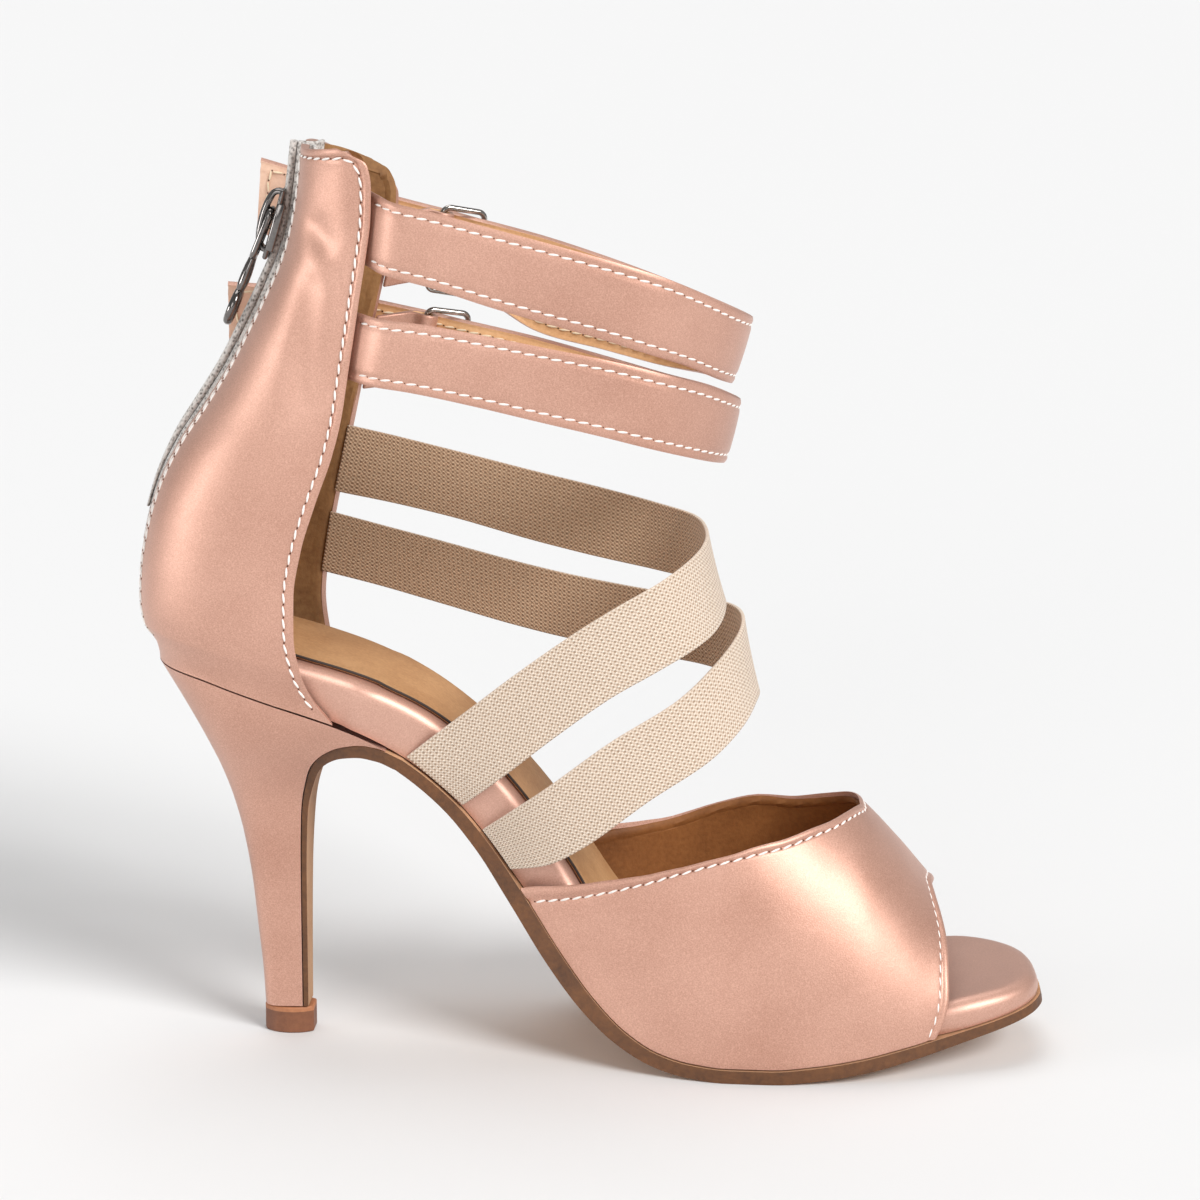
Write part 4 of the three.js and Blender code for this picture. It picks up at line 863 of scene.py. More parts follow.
# %% Counter
def counter_spot(side, number, part):
    """A spot on the counter's outer face: part runs from the zip (0) to the front edge (1)."""
    back_x, back_z, in_x, in_z, out_x, out_z, half, wide = (column(number) for column in counter)
    front_x, front_z = (in_x, in_z) if side == "inner" else (out_x, out_z)
    reach = wide - back_x
    slit_x = wide - reach * (1 - (SLIT_HALF / half) ** ROUNDNESS) ** (1 / ROUNDNESS)
    x = back_x if part < 0 else mix(slit_x, front_x, 1 - math.cos(part * math.pi / 2))
    behind = max(0, (wide - x) / reach)
    beyond = max(0, x - wide)
    curled = half * max(0, 1 - behind ** ROUNDNESS) ** (1 / ROUNDNESS) - 0.008 * beyond * beyond
    seat = max(0, 1 - number / 2)
    y = mix(curled, abs(edge_y(side, x)), 0 if part < 0 else seat)
    along = (x - back_x) / (front_x - back_x)
    sag = max(0, 1 - number / 4)
    seat_x = mix(HEEL_BACK, COUNTER_FRONT_X, along)
    z = mix(back_z, front_z, along)
    z += sag * (sole_top(seat_x) - mix(sole_top(HEEL_BACK), sole_top(COUNTER_FRONT_X), along))
    return Vector((x, 0 if part < 0 else SIGN[side] * y, z))


ZIP_TOP = len(COUNTER_ROWS) - 1
TOP_ROW_STEP = 3.6


def welt(from_edge, roll=2.1):
    """A turned edge: a plump roll outside the stitch line, which lies in a groove."""
    groove = -0.35 * math.exp(-(((from_edge - roll) / 0.55) ** 2))
    if from_edge >= roll:
        return groove
    return groove + 0.35 * math.sqrt(max(0.0, 1 - ((from_edge - roll / 2) / (roll / 2)) ** 2))


# Soft creases in the satin, listed one by one, on the inner side: x and z of both ends, width, and depth.
CREASES = [
    (13, 219, 14, 205, 5.5, 0.9), (12, 206, 21, 192, 3.4, 1.0), (17, 200, 22.5, 190, 2.4, -0.3),
    (11, 192, 9, 168, 4.0, 1.0), (20, 187, 21, 170, 3.4, 0.5),
]


def crease_depth(x, z):
    total = 0
    for x0, z0, x1, z1, wide, depth in CREASES:
        line = Vector((x1 - x0, z1 - z0))
        along = clamp((Vector((x, z)) - Vector((x0, z0))).dot(line) / line.length_squared, 0, 1)
        away = (Vector((x, z)) - Vector((x0, z0)) - line * along).length
        total += depth * math.exp(-((away / wide) ** 2))
    return total


HALF_COLUMNS = 64
COUNTER_COLUMNS = 2 * HALF_COLUMNS + 2
COUNTER_STEPS = 170


def counter_place(u, v):
    number = v * (len(COUNTER_ROWS) - 1)
    k = round(u * COUNTER_COLUMNS)
    if k == HALF_COLUMNS + 1:
        return counter_spot("inner", number, -1)
    side = "inner" if k <= HALF_COLUMNS else "outer"
    part = 1 - k / HALF_COLUMNS if side == "inner" else (k - HALF_COLUMNS - 2) / HALF_COLUMNS
    part = part ** 0.8 if part > 0 else 0.0
    spot = counter_spot(side, number, part)
    if side == "inner":
        spot.y += crease_depth(spot.x, spot.z) * ease(part, 0.1, 0.4) * ease(1 - part, 0.03, 0.15)
    front = counter_spot(side, number, 1)
    from_edge = min((front - spot).length, (ZIP_TOP - number) * TOP_ROW_STEP)
    corner = ease(part, 0.84, 1) * ease(number, ZIP_TOP - 1.2, ZIP_TOP)
    if side == "inner":
        spot += Vector((-0.7, 0, -1.1)) * corner
    spot.y += SIGN[side] * welt(from_edge) * ease(number, 0, 2) * (1 - corner)
    return spot


def outside_slit(u, v):
    in_middle = HALF_COLUMNS < u * COUNTER_COLUMNS < HALF_COLUMNS + 2
    return not (in_middle and v * (len(COUNTER_ROWS) - 1) > SLIT_ROW)


bm = press(COUNTER_COLUMNS, COUNTER_STEPS, counter_place, (150, 130), keep=outside_slit)
walled("satin_counter", bm, (5, 0, 150), [SATIN, COUNTER_LINING], "counter", COUNTER_WALL, 0.7)

# %% [markdown]
# ## The vamp
# The forefoot is covered by one curved piece over the last, lined in a darker tan. The form is given
# by the angle over the foot and the distance along it, and it runs from the throat to the toe opening.


# %% Vamp
def foot_spot(x, angle):
    inner, outer = edge_y("inner", x) + GAP, edge_y("outer", x) - GAP
    a = math.radians(angle)
    wide = math.copysign(abs(math.cos(a)) ** 0.86, math.cos(a))
    height = sole_top(x) + 1.5 * GAP + crown_height(x) * math.sin(a) ** 0.97
    return Vector((x, mix(inner, outer, (1 - wide) / 2), height))


vamp_edges = {
    "inner": (curve(VAMP_ROWS, 1), curve(VAMP_ROWS, 3)),
    "outer": (curve(VAMP_ROWS, 2), curve(VAMP_ROWS, 4)),
}


def vamp_spot(u, v):
    angle = clamp(180 * u, 0, 180)
    side = "inner" if angle <= 90 else "outer"
    throat, toe = (edge(min(angle, 180 - angle)) for edge in vamp_edges[side])
    if side == "outer":
        toe -= 2.6 * ease(angle, 96, 130)
        beside = [vamp_edges[side][0](clamp(180 - angle + step, 0, 90)) for step in (-7, 0, 7)]
        throat = mix(throat, sum(beside) / 3, ease(angle, 96, 110) * ease(180 - angle, 4, 14))
    return foot_spot(mix(throat, toe, v), angle)


def vamp_facing(u, v):
    ahead = vamp_spot(min(1, u + 0.003), v) - vamp_spot(max(0, u - 0.003), v)
    down = vamp_spot(u, min(1, v + 0.01)) - vamp_spot(u, max(0, v - 0.01))
    return down.cross(ahead).normalized()


def vamp_length(u):
    return (vamp_spot(u, 1) - vamp_spot(u, 0)).length


def vamp_place(u, v):
    length = vamp_length(u)
    welts = welt(v * length) + welt((1 - v) * length, 1.7) * 0.7
    return vamp_spot(u, v) + vamp_facing(u, v) * welts


def fine_ends(v):
    """Spreads the grid's rows so that they lie close at both edges, for the turned welts."""
    return v - 0.11 * math.sin(2 * math.pi * v)


bm = press(120, 90, lambda u, v: vamp_place(u, fine_ends(v)), (170, 90))
walled("satin_vamp", bm, (115, 4, 5), [SATIN, VAMP_LINING], "vamp", VAMP_WALL, 0.6)

# %% [markdown]
# ## Straps and bands
# A band is given by the course of its two edges. Smooth curves run through both, and the sheet lies
# between them. Places are then read by the true length along the middle, so that stitches and weave
# come out even.


# %% The course of a band
def front_edge(side, z, clear):
    low, high = 0.0, len(COUNTER_ROWS) - 2.0
    for _ in range(40):
        middle = (low + high) / 2
        if counter_spot(side, middle, 1).z < z:
            low = middle
        else:
            high = middle
    spot = counter_spot(side, low, 1)
    return Vector((spot.x + GAP + 0.1 + clear, spot.y - SIGN[side] * COUNTER_WALL / 2, z))


def between_spots(spots, t):
    """A smooth curve through spots, with less swing where they lie close together."""
    run = clamp(t, 0, 1) * (len(spots) - 1)
    k = min(int(run), len(spots) - 2)
    w = run - k
    p1, p2 = spots[k], spots[k + 1]
    p0 = spots[k - 1] if k > 0 else p1 * 2 - p2
    p3 = spots[k + 2] if k + 2 < len(spots) else p2 * 2 - p1
    d0, d1, d2 = (math.sqrt((b - a).length) for a, b in ((p0, p1), (p1, p2), (p2, p3)))
    t1 = ((p1 - p0) / d0 - (p2 - p0) / (d0 + d1) + (p2 - p1) / d1) * d1
    t2 = ((p2 - p1) / d1 - (p3 - p1) / (d1 + d2) + (p3 - p2) / d2) * d1
    return p1 + t1 * w + (-3 * p1 + 3 * p2 - 2 * t1 - t2) * w ** 2 + (2 * p1 - 2 * p2 + t1 + t2) * w ** 3


class Band:
    """A sheet between two edges, read by millimetres along its middle and by its share across."""

    def __init__(self, rows, wall):
        self.upper = [Vector(row[0]) for row in rows]
        self.lower = [Vector(row[1]) for row in rows]
        self.wall = wall
        self.ticks = [k / 600 for k in range(601)]
        middles = [self.raw(t, 0.5) for t in self.ticks]
        self.runs = [0.0]
        for a, b in zip(middles, middles[1:]):
            self.runs.append(self.runs[-1] + (b - a).length)
        self.length = self.runs[-1]
        self.width = (self.upper[3] - self.lower[3]).length

    def raw(self, t, across):
        return between_spots(self.upper, t).lerp(between_spots(self.lower, t), across)

    def tick(self, run):
        run = clamp(run, 0, self.length)
        k = min(bisect.bisect_right(self.runs, run), len(self.runs) - 1) - 1
        share = (run - self.runs[k]) / max(1e-6, self.runs[k + 1] - self.runs[k])
        return mix(self.ticks[k], self.ticks[min(k + 1, 600)], share)

    def normal(self, t, across):
        ahead = self.raw(min(1, t + 0.002), across) - self.raw(max(0, t - 0.002), across)
        down = self.raw(t, 1) - self.raw(t, 0)
        return down.cross(ahead).normalized()

    def outside(self, run, across, lift=0.0):
        """A spot and the normal on the outer face. Before its start the band runs straight on."""
        t = self.tick(run)
        facing = self.normal(t, across)
        spot = self.raw(t, across) + facing * (self.wall / 2 + lift)
        if run < 0:
            spot += (self.raw(0.01, 0.5) - self.raw(0, 0.5)).normalized() * run
        return spot, facing


# %% [markdown]
# ## Where the buckles sit
# The far end of each ankle strap goes through a buckle, so the strap's course needs the buckle's place
# first. A buckle has its own axes: along the strap, out of the foot, and up across the strap.

# %% Buckle places
BUCKLES = {"upper": (Vector((35, 29.4, 193.5)), 12.8), "lower": (Vector((31, 29.4, 167.8)), 11.0)}
BUCKLE_DEPTH, BUCKLE_WIRE, BUCKLE_OPENING, STRAP_AT_BUCKLE = 11.0, 1.5, 19.6, 18.8
FRAME_TIP = math.asin(4.5 / BUCKLE_DEPTH)
HOLE_START, HOLE_END = 8.3, 0.4
HOLE_START_OUT, HOLE_END_OUT = 1.9, 4.1


def buckle_axes(name):
    bar, slope = BUCKLES[name]
    angle = math.radians(slope)
    along = Vector((math.cos(angle), 0, -math.sin(angle)))
    up = Vector((math.sin(angle), 0, math.cos(angle)))
    return bar, along, Vector((0, 1, 0)), up


def buckle_spot(name, forward, out, level):
    bar, along, outward, up = buckle_axes(name)
    return bar + along * forward + outward * out + up * level


def through_buckle(name):
    """The strap's two edges on its way through the frame and over its bar."""
    ways = ((13, 1.4), (HOLE_START, HOLE_START_OUT), (HOLE_END, HOLE_END_OUT), (-4.5, 4.5))
    half = STRAP_AT_BUCKLE / 2
    return [(buckle_spot(name, *way, half), buckle_spot(name, *way, -half)) for way in ways]


def from_counter(side, upper_z, lower_z, clear):
    return front_edge(side, upper_z, clear), front_edge(side, lower_z, clear)


def on_sole(x, y):
    return x, y, sole_top(x) + 1


STRAP_CLEAR, ELASTIC_CLEAR = 0.9, 0.1
print("buckle bars", {name: list(bar) for name, (bar, _) in BUCKLES.items()})

# %% [markdown]
# ## The four courses
# Each row below holds one place on the upper edge and one on the lower edge, read off the photograph
# on the near side. The two straps end behind their buckles and the two elastic bands on the sole.

# %% The four courses
upper_strap = Band([
    from_counter("inner", 214.6, 197.2, STRAP_CLEAR), ((30.8, -28.8, 213.6), (28.8, -28.8, 196.2)),
    ((41.7, -31.4, 211.4), (40.4, -31.4, 193.7)), ((56.3, -32, 207.7), (54, -32, 189.5)),
    ((71.7, -32, 203.7), (67.8, -32, 185.6)), ((83.6, -30.8, 200.2), (79.6, -31, 182.2)),
    ((95.3, -27, 195.9), (91.2, -27.5, 177.9)), ((103.9, -20, 190.9), (99.6, -20.5, 173.9)),
    ((111.2, -10.5, 185.6), (106.4, -11, 169.2)), ((114.3, 0, 182.4), (109.4, -0.5, 166.2)),
    ((112.8, 10.5, 181.4), (108, 10.5, 164.8)), ((105.4, 20.5, 182.8), (101.6, 20.5, 164.4)),
    ((94.7, 27, 186), (91.8, 27.2, 164.9)), ((79.4, 31, 190.9), (76.8, 31.2, 168)),
    ((62.4, 32.2, 196.2), (59.2, 32, 172.6)), *through_buckle("upper"),
    ((14, 33, 208.6), (10.2, 33, 189.4)), ((-8.1, 30.4, 215.4), (-9.6, 30.4, 196.9)),
], STRAP_WALL)

lower_strap = Band([
    from_counter("inner", 186.2, 170.1, STRAP_CLEAR), ((27.8, -29, 185.8), (24.9, -28.8, 169.7)),
    ((38.6, -31.4, 185), (36.2, -31.4, 168.5)), ((53.8, -32, 182.5), (51, -32, 165.6)),
    ((68.6, -32, 179.7), (65.4, -32, 162.3)), ((83.6, -30.8, 176.6), (80, -31, 158.8)),
    ((95.3, -27, 173), (91.6, -27.3, 155.2)), ((103.4, -19.5, 169.4), (99.6, -20, 151.9)),
    ((109.4, -10, 165.2), (105.4, -10.5, 148.8)), ((111.6, 0, 162.2), (107.8, -0.5, 146.6)),
    ((110, 10, 161.2), (106.4, 10, 145)), ((102.9, 20.5, 161.8), (99.6, 20.5, 144.2)),
    ((92.4, 27.2, 163.1), (89.8, 27.4, 144.2)), ((77.4, 31.2, 166.5), (74.9, 31.4, 146.5)),
    ((60, 32.2, 171), (57.6, 32.4, 150.4)), *through_buckle("lower"),
    ((6, 32.2, 182.4), (4.2, 32.2, 164.8)), ((-16.8, 29, 184.6), (-16.8, 29, 169.7)),
], STRAP_WALL)

upper_elastic = Band([
    from_counter("outer", 149, 132.1, ELASTIC_CLEAR), ((25, 29.6, 146), (24.6, 29.6, 128.8)),
    ((39.6, 31, 142.2), (39.5, 31, 125)), ((58.6, 32, 137.3), (58, 32, 119.6)),
    ((75, 30.8, 133.7), (74.2, 31, 115.9)), ((91, 26, 130.7), (91.2, 26.5, 113.4)),
    ((100.8, 16, 130), (103.5, 16.5, 112.8)), ((104.4, 3, 129.2), (108.5, 3, 112.4)),
    ((104.2, -9, 128), (109.3, -9, 111.2)), ((100.4, -19.5, 125.8), (107.1, -20, 108.8)),
    ((93.5, -27.8, 122.3), (102, -27.6, 106.1)), ((84.8, -31, 117.7), (94, -30.8, 101.7)),
    ((73.1, -31.4, 110.2), (82.5, -31.8, 95)), ((59.3, -29, 99.7), (68.5, -29.8, 84.2)),
    ((48.8, -25.6, 90.8), (58.4, -26.6, 75.4)), ((40.5, -22.2, 83.6), (51, -22.4, 68.8)),
    (on_sole(31.8, -18.5), on_sole(45.4, -17.8)),
], ELASTIC_WALL)

lower_elastic = Band([
    from_counter("outer", 126.7, 111.5, ELASTIC_CLEAR), ((21, 29.6, 123.2), (20.5, 29.8, 107.5)),
    ((34.4, 31.2, 119.4), (35.5, 32, 102.7)), ((53.6, 33, 113.9), (53.4, 34, 97.1)),
    ((67.9, 33.8, 110.4), (67.4, 35, 93.5)), ((87.5, 31.6, 107.4), (87.2, 33, 90.4)),
    ((101.5, 24, 107.4), (103, 25, 89.7)), ((110.2, 13, 108.3), (112.9, 13.5, 89.4)),
    ((113.5, 1, 108.3), (117.3, 1, 89.6)), ((112.9, -10, 106.4), (117.2, -10.5, 89.6)),
    ((108.3, -20, 102), (114.2, -20.5, 85.8)), ((98.9, -28.8, 94.3), (106.9, -28.6, 79.6)),
    ((82.6, -32.4, 84.3), (91.8, -32, 69.7)), ((67, -30.4, 72), (76.6, -29.6, 57.5)),
    ((58.6, -26, 65.2), (66.9, -25.2, 51.2)), (on_sole(50.2, -19), on_sole(57.2, -19.6)),
], ELASTIC_WALL)
for name, band in (("upper strap", upper_strap), ("lower strap", lower_strap),
                   ("upper elastic", upper_elastic), ("lower elastic", lower_elastic)):
    print("flat size", name, round(band.length, 1), "by", round(band.width, 1), "by", band.wall)

# %% [markdown]
# ## Satin straps
# Each strap is turned over at its edges and stitched down, which leaves a soft welt along both
# edges. The sheet dips a little along the stitch line to give that welt.

# %% Straps
STITCH_INSET = 2.2
WELT_DIP = 0.3
PILLOW = 0.3
TUCK_RUN, TUCK_DEPTH = 5.0, 0.8
END_ZONE = 34


def strap_spot(band, run, across, lift=0.0):
    """A spot on the strap. Its start is tucked in behind the counter's front edge."""
    spot, facing = band.outside(run, across, lift)
    spot.y += TUCK_DEPTH * (1 - ease(run, -1, 9))
    return spot, facing


def strap_sheet(name, band, node, hole_run):
    columns, rows = round(band.length / 1.5), 28
    whole = band.length + TUCK_RUN

    def place(u, v):
        from_edge = min(v, 1 - v) * band.width
        dip = WELT_DIP * math.exp(-(((from_edge - STITCH_INSET) / 0.6) ** 2))
        thin = 0.3 * math.exp(-((from_edge / 0.6) ** 2))
        pillow = PILLOW * (1 - (2 * v - 1) ** 2) - PILLOW
        return strap_spot(band, u * whole - TUCK_RUN, v, pillow - dip - thin)[0]

    def keep(u, v):
        return not (hole_run[0] < u * whole - TUCK_RUN < hole_run[1] and abs(v - 0.5) < 0.075)

    def paint(u, v):
        return 2 if u * whole - TUCK_RUN > band.length - END_ZONE else 0

    bm = press(columns, rows, place, (whole, band.width), keep=keep, paint=paint)
    # Past END_ZONE the inner face wears the paler end lining, painted light on the strap's free end.
    walled(name, bm, (65, 0, 180), [SATIN, LINING, SATIN, LIT_END_LINING], node, band.wall - 0.1, 0.55)


def band_course(band, lift, inside=False):
    """The stitch line down one edge, across the free end and back up the other edge."""
    low = STITCH_INSET / band.width
    last = band.length - STITCH_INSET
    count = round(last / 1.2)
    way = [(last * k / count, low) for k in range(count)]
    way += [(last, mix(low, 1 - low, k / 16)) for k in range(17)]
    way += [(last * (count - 1 - k) / count, 1 - low) for k in range(count)]
    made = [strap_spot(band, run, across, lift) for run, across in way]
    sign = -1 if inside else 1
    return [spot for spot, _ in made], [facing * sign for _, facing in made]


def run_near(band, spot):
    """How far along a band its middle comes nearest to a spot."""
    return min(zip(band.ticks, band.runs), key=lambda pair: (band.raw(pair[0], 0.5) - spot).length)[1]


for name, band in (("upper", upper_strap), ("lower", lower_strap)):
    hole = (run_near(band, buckle_spot(name, HOLE_START, HOLE_START_OUT, 0)),
            run_near(band, buckle_spot(name, HOLE_END, HOLE_END_OUT, 0)))
    strap_sheet(f"satin_strap_{name}", band, f"ankle_strap_{name}", hole)
    sew(f"stitches_strap_{name}", [band_course(band, -PILLOW * 0.7 - WELT_DIP)])
    inner_lift = -band.wall + 0.1 - PILLOW * 0.7 - WELT_DIP
    sew(f"lining_stitches_{name}", [band_course(band, inner_lift, inside=True)], TAN_THREAD)
    print(name, "strap's hole from", round(hole[0]), "to", round(hole[1]))


# %% [markdown]
# ## Elastic bands
# The two elastic bands are thin and slightly cupped across, and they are woven, not stitched.


# %% Elastics
HIDDEN_RUN = 2.0


def elastic_sheet(name, band, node):
    whole = band.length + HIDDEN_RUN

    def place(u, v):
        cup = 0.25 * (1 - (2 * v - 1) ** 2)
        return band.outside(u * whole - HIDDEN_RUN, v, cup - 0.25)[0]

    bm = press(round(band.length / 1.8), 12, place, (whole, band.width))
    walled(name, bm, (70, 0, 100), [ELASTIC, ELASTIC_BACK], node, band.wall - 0.1, 0.3, 2)


elastic_sheet("elastic_band_upper", upper_elastic, "elastic_upper")
elastic_sheet("elastic_band_lower", lower_elastic, "elastic_lower")


# %% [markdown]
# ## Buckles
# Each ankle strap runs through a small rectangular steel frame. A satin tab from the counter holds
# the frame's rear bar, and a prong hinged on that bar goes through a slot in the strap.


# %% Wire shapes
def tube(spots, radius, columns, up, looped=False, wide=1.0):
    """A wire along a list of spots in millimetres. The radius may be a list; wide flattens it."""
    count = len(spots)
    radii = radius if isinstance(radius, list) else [radius] * count

    def place(u, v):
        k = round(v * (count if looped else count - 1)) % count
        before = spots[k - 1] if looped or k > 0 else spots[0]
        after = spots[(k + 1) % count] if looped or k < count - 1 else spots[-1]
        ahead = (after - before).normalized()
        across = ahead.cross(up).normalized()
        out = across.cross(ahead)
        a = 2 * math.pi * u
        return spots[k] + (across * math.cos(a) * wide + out * math.sin(a)) * radii[k]

    bm = press(columns, count if looped else count - 1, place)
    close(bm, 0.005)
    return bm


def rounded_rectangle(length, height, corner):
    """Spots of a rounded rectangle in its own plane, as pairs, with six steps round each corner."""
    made = []
    for cx, cy, start in ((1, 1, 0), (-1, 1, 90), (-1, -1, 180), (1, -1, 270)):
        for k in range(7):
            a = math.radians(start + 90 * k / 6)
            made.append((cx * (length / 2 - corner) + corner * math.cos(a),
                         cy * (height / 2 - corner) + corner * math.sin(a)))
    return made


# %% [markdown]
# ## Frame, prong and tab
# The frame is a closed wire bent to a rounded rectangle. The prong's wire curls round the rear bar and
# thins to a point. The tab is a strip of satin folded round the bar, with a slot for the prong.

# %% Frames, prongs and tabs
def make_frame(name):
    spots = []
    for flat, level in rounded_rectangle(BUCKLE_DEPTH, BUCKLE_OPENING + BUCKLE_WIRE, 1.8):
        reach = flat + BUCKLE_DEPTH / 2
        spots.append(buckle_spot(name, reach * math.cos(FRAME_TIP), reach * math.sin(FRAME_TIP), level))
    normal = Vector((-math.sin(FRAME_TIP), math.cos(FRAME_TIP), 0))
    bm = tube(spots, BUCKLE_WIRE / 2, 14, looped=True, up=normal)
    piece(f"steel_frame_{name}", bm, [STEEL], [f"buckle_frame_{name}"])


def make_prong(name):
    eye, end = 1.93, (12.0, 7.5)
    lean = math.atan2(end[1] - eye, end[0])
    spots = []
    for k in range(22):
        a = math.radians(90) + lean + math.radians(300) * (21 - k) / 21
        spots.append(buckle_spot(name, eye * math.cos(a), eye * math.sin(a), 0))
    top = (eye * math.cos(math.pi / 2 + lean), eye * math.sin(math.pi / 2 + lean))
    for k in range(1, 13):
        t = k / 12
        spots.append(buckle_spot(name, mix(top[0], end[0], t), mix(top[1], end[1] - 0.3, t), 0))
    radii = [0.62] * 30 + [0.6, 0.56, 0.48, 0.3]
    bm = tube(spots, radii, 10, up=buckle_axes(name)[3])
    piece(f"steel_prong_{name}", bm, [STEEL], [f"buckle_prong_{name}"])


def make_tab(name):
    bar, along, outward, up = buckle_axes(name)
    fold, layer, wall, half, slot = 2.3, 0.75, 1.2, 9.4, 1.7
    bend = [130 - 13 * k for k in range(21)]
    columns = len(bend) + 5

    def place(u, v):
        middle = bar + up * mix(-half, half, v)
        rear = front_edge("outer", middle.z, 0.3)
        k = round(u * columns)
        if 2 < k < columns - 2:
            a = math.radians(bend[k - 3])
            radius = fold + wall / 2
            return middle + along * (radius * math.cos(a)) + outward * (radius * math.sin(a))
        share, side = (k / 2, 1) if k <= 2 else ((columns - k) / 2, -1)
        leaf = rear.lerp(middle - along * 3.6, share)
        return leaf + outward * (side * (layer * mix(1, 1.6, share) + wall / 2))

    def keep(u, v):
        return not (abs(v - 0.5) * 2 * half < slot and 2 < u * columns < columns - 2)

    bm = press(columns, 22, place, (30, 19), keep=keep)
    walled(f"satin_tab_{name}", bm, bar - along * 3, [SATIN, LINING], f"buckle_tab_{name}", wall,
           0.35, 2)


for name in BUCKLES:
    make_frame(name)
    make_prong(name)
    make_tab(name)
print("buckles", list(BUCKLES))

# %% [markdown]
# ## The zip
# The zip closes the back. Its tape lies behind the counter's edges and stands out between them as a
# narrow fold. One sheet makes it: a short table gives its depth across, and the counter gives its line.

# %% Zip tape
TAPE_FOLDS = [(0, 1, 0), (1.3, 0.8, 0), (2.1, 0, 1.1), (2.7, 0, 2.95), (5, 0, 3.3), (7.5, 0, 3.9)]


def zip_ridge(number):
    return 0.9 * ease(number, 5, 13)


def zip_line(number, depth):
    """A spot on the counter's back line, moved forward into the shoe by a depth."""
    spot = counter_spot("inner", number, -1)
    above = counter_spot("inner", min(number + 0.3, ZIP_TOP), -1)
    below = counter_spot("inner", number - 0.3, -1)
    inward = Vector((above.z - below.z, 0, below.x - above.x)).normalized()
    return spot + inward * depth, inward


folds = [(-y, ridge, depth) for y, ridge, depth in reversed(TAPE_FOLDS[1:])] + TAPE_FOLDS
fold_ridge, fold_depth = (curve(folds, column) for column in (1, 2))
TAPE_REACH = folds[-1][0]
TAPE_FOOT, RIDGE_FOOT = SLIT_ROW + 0.1, SLIT_ROW + 0.9


def tape_place(u, v):
    number = mix(TAPE_FOOT, ZIP_TOP, v)
    y = mix(-TAPE_REACH, TAPE_REACH, u)
    depth = fold_depth(y) - fold_ridge(y) * zip_ridge(number) - TAPE_WALL / 2
    spot, _ = zip_line(number, depth)
    spot.y = y
    return spot


bm = press(44, 70, tape_place, (15, 95))
walled("woven_zip_tape", bm, (60, 0, 170), [TAPE, TAPE], "zip_tape", TAPE_WALL, 0)


def path_length(place):
    spots = [place(k / 200) for k in range(201)]
    return round(sum((b - a).length for a, b in zip(spots, spots[1:])), 1)


print("flat size zip tape", path_length(lambda v: tape_place(0.5, v)), "by",
      path_length(lambda u: tape_place(u, 0.5)), "by", TAPE_WALL)

# %% [markdown]
# ## The zip's ridge
# The closed zip shows as a plump grey ridge on the tape, slimmer at its foot. The teeth are too small
# to tell apart in the photograph, so the ridge is one rounded form that wears the tape's finish.

# %% Zip ridge
def ridge_place(u, v):
    number = mix(RIDGE_FOOT, ZIP_TOP, v)
    a = 2 * math.pi * u
    slim = ease(v, 0, 0.25) * 0.6 + 0.4
    centre, inward = zip_line(number, -zip_ridge(number) - TAPE_WALL / 2 - 0.25 - 0.75 * slim)
    return centre - inward * (0.95 * slim * math.sin(a)) + Vector((0, 1.6 * math.cos(a), 0))


bm = press(20, 90, ridge_place, (10, 95))
close(bm)
ridge = piece("zip_ridge", bm, [TAPE], ["zip_teeth"], sharp=80)
print("ridge", len(ridge.data.polygons), "faces")


# %% [markdown]
# ## Slider and pull tab
# The slider is a bevelled plate that rides on the ridge, with a bowed bridge over it. The pull tab's
# cross bar sits under the bridge: two slim rails, a narrow neck and a ring at its foot. All are
# drawn round the pull's pivot, upright first, and then leaned back with the line of the zip.

# %% Slider and pull
PIVOT = Vector((-1.3, 0, 207.0))
SLIDER_LEAN, PULL_LEAN = math.radians(16.4), math.radians(22.5)


def lean_back(bm, lean):
    turn = Matrix.Translation(PIVOT * MM) @ Matrix.Rotation(lean, 4, "Y")
    bmesh.ops.transform(bm, matrix=turn, verts=bm.verts[:])
    return bm


def join(shapes):
    """One bmesh from several that are left unmerged, each freed once it is copied."""
    whole = bmesh.new()
    for shape in shapes:
        mesh = bpy.data.meshes.new("shape")
        shape.to_mesh(mesh)
        shape.free()
        whole.from_mesh(mesh)
        bpy.data.meshes.remove(mesh)
    return whole


def block_shape(size, centre, bevel):
    bm = bmesh.new()
    bmesh.ops.create_cube(bm, size=1)
    bmesh.ops.scale(bm, verts=bm.verts[:], vec=Vector(size) * MM)
    bmesh.ops.translate(bm, verts=bm.verts[:], vec=Vector(centre) * MM)
    bmesh.ops.bevel(bm, geom=bm.edges[:], offset=bevel * MM, segments=3, profile=0.5, affect="EDGES",
                    material=-1)
    return bm


def bow(out, side=0.0):
    """The bridge's bowed course from its foot to its top, a little to the side of the middle."""
    low, high, root = -9.6, 5.0, 1.4
    made = []
    for k in range(25):
        a = math.pi * k / 24
        height = mix(low, high, (1 - math.cos(a)) / 2)
        made.append(Vector((root - (root + out) * math.sin(a) ** 0.55, side, height)))
    return made


def make_slider():
    sideways = Vector((0, 1, 0))
    plate = block_shape((1.2, 8.2, 17.6), (1.7, 0, -2.7), 0.55)
    wings = [block_shape((2.0, 1.0, 12.0), (2.3, side * 3.9, -3.2), 0.4) for side in (-1, 1)]
    bridge = tube(bow(1.9), 0.8, 12, up=sideways, wide=0.9)
    cheeks = [tube(bow(1.6, side), 0.7, 10, up=sideways) for side in (-1, 1)]
    return lean_back(join([plate, *wings, bridge, *cheeks]), SLIDER_LEAN)


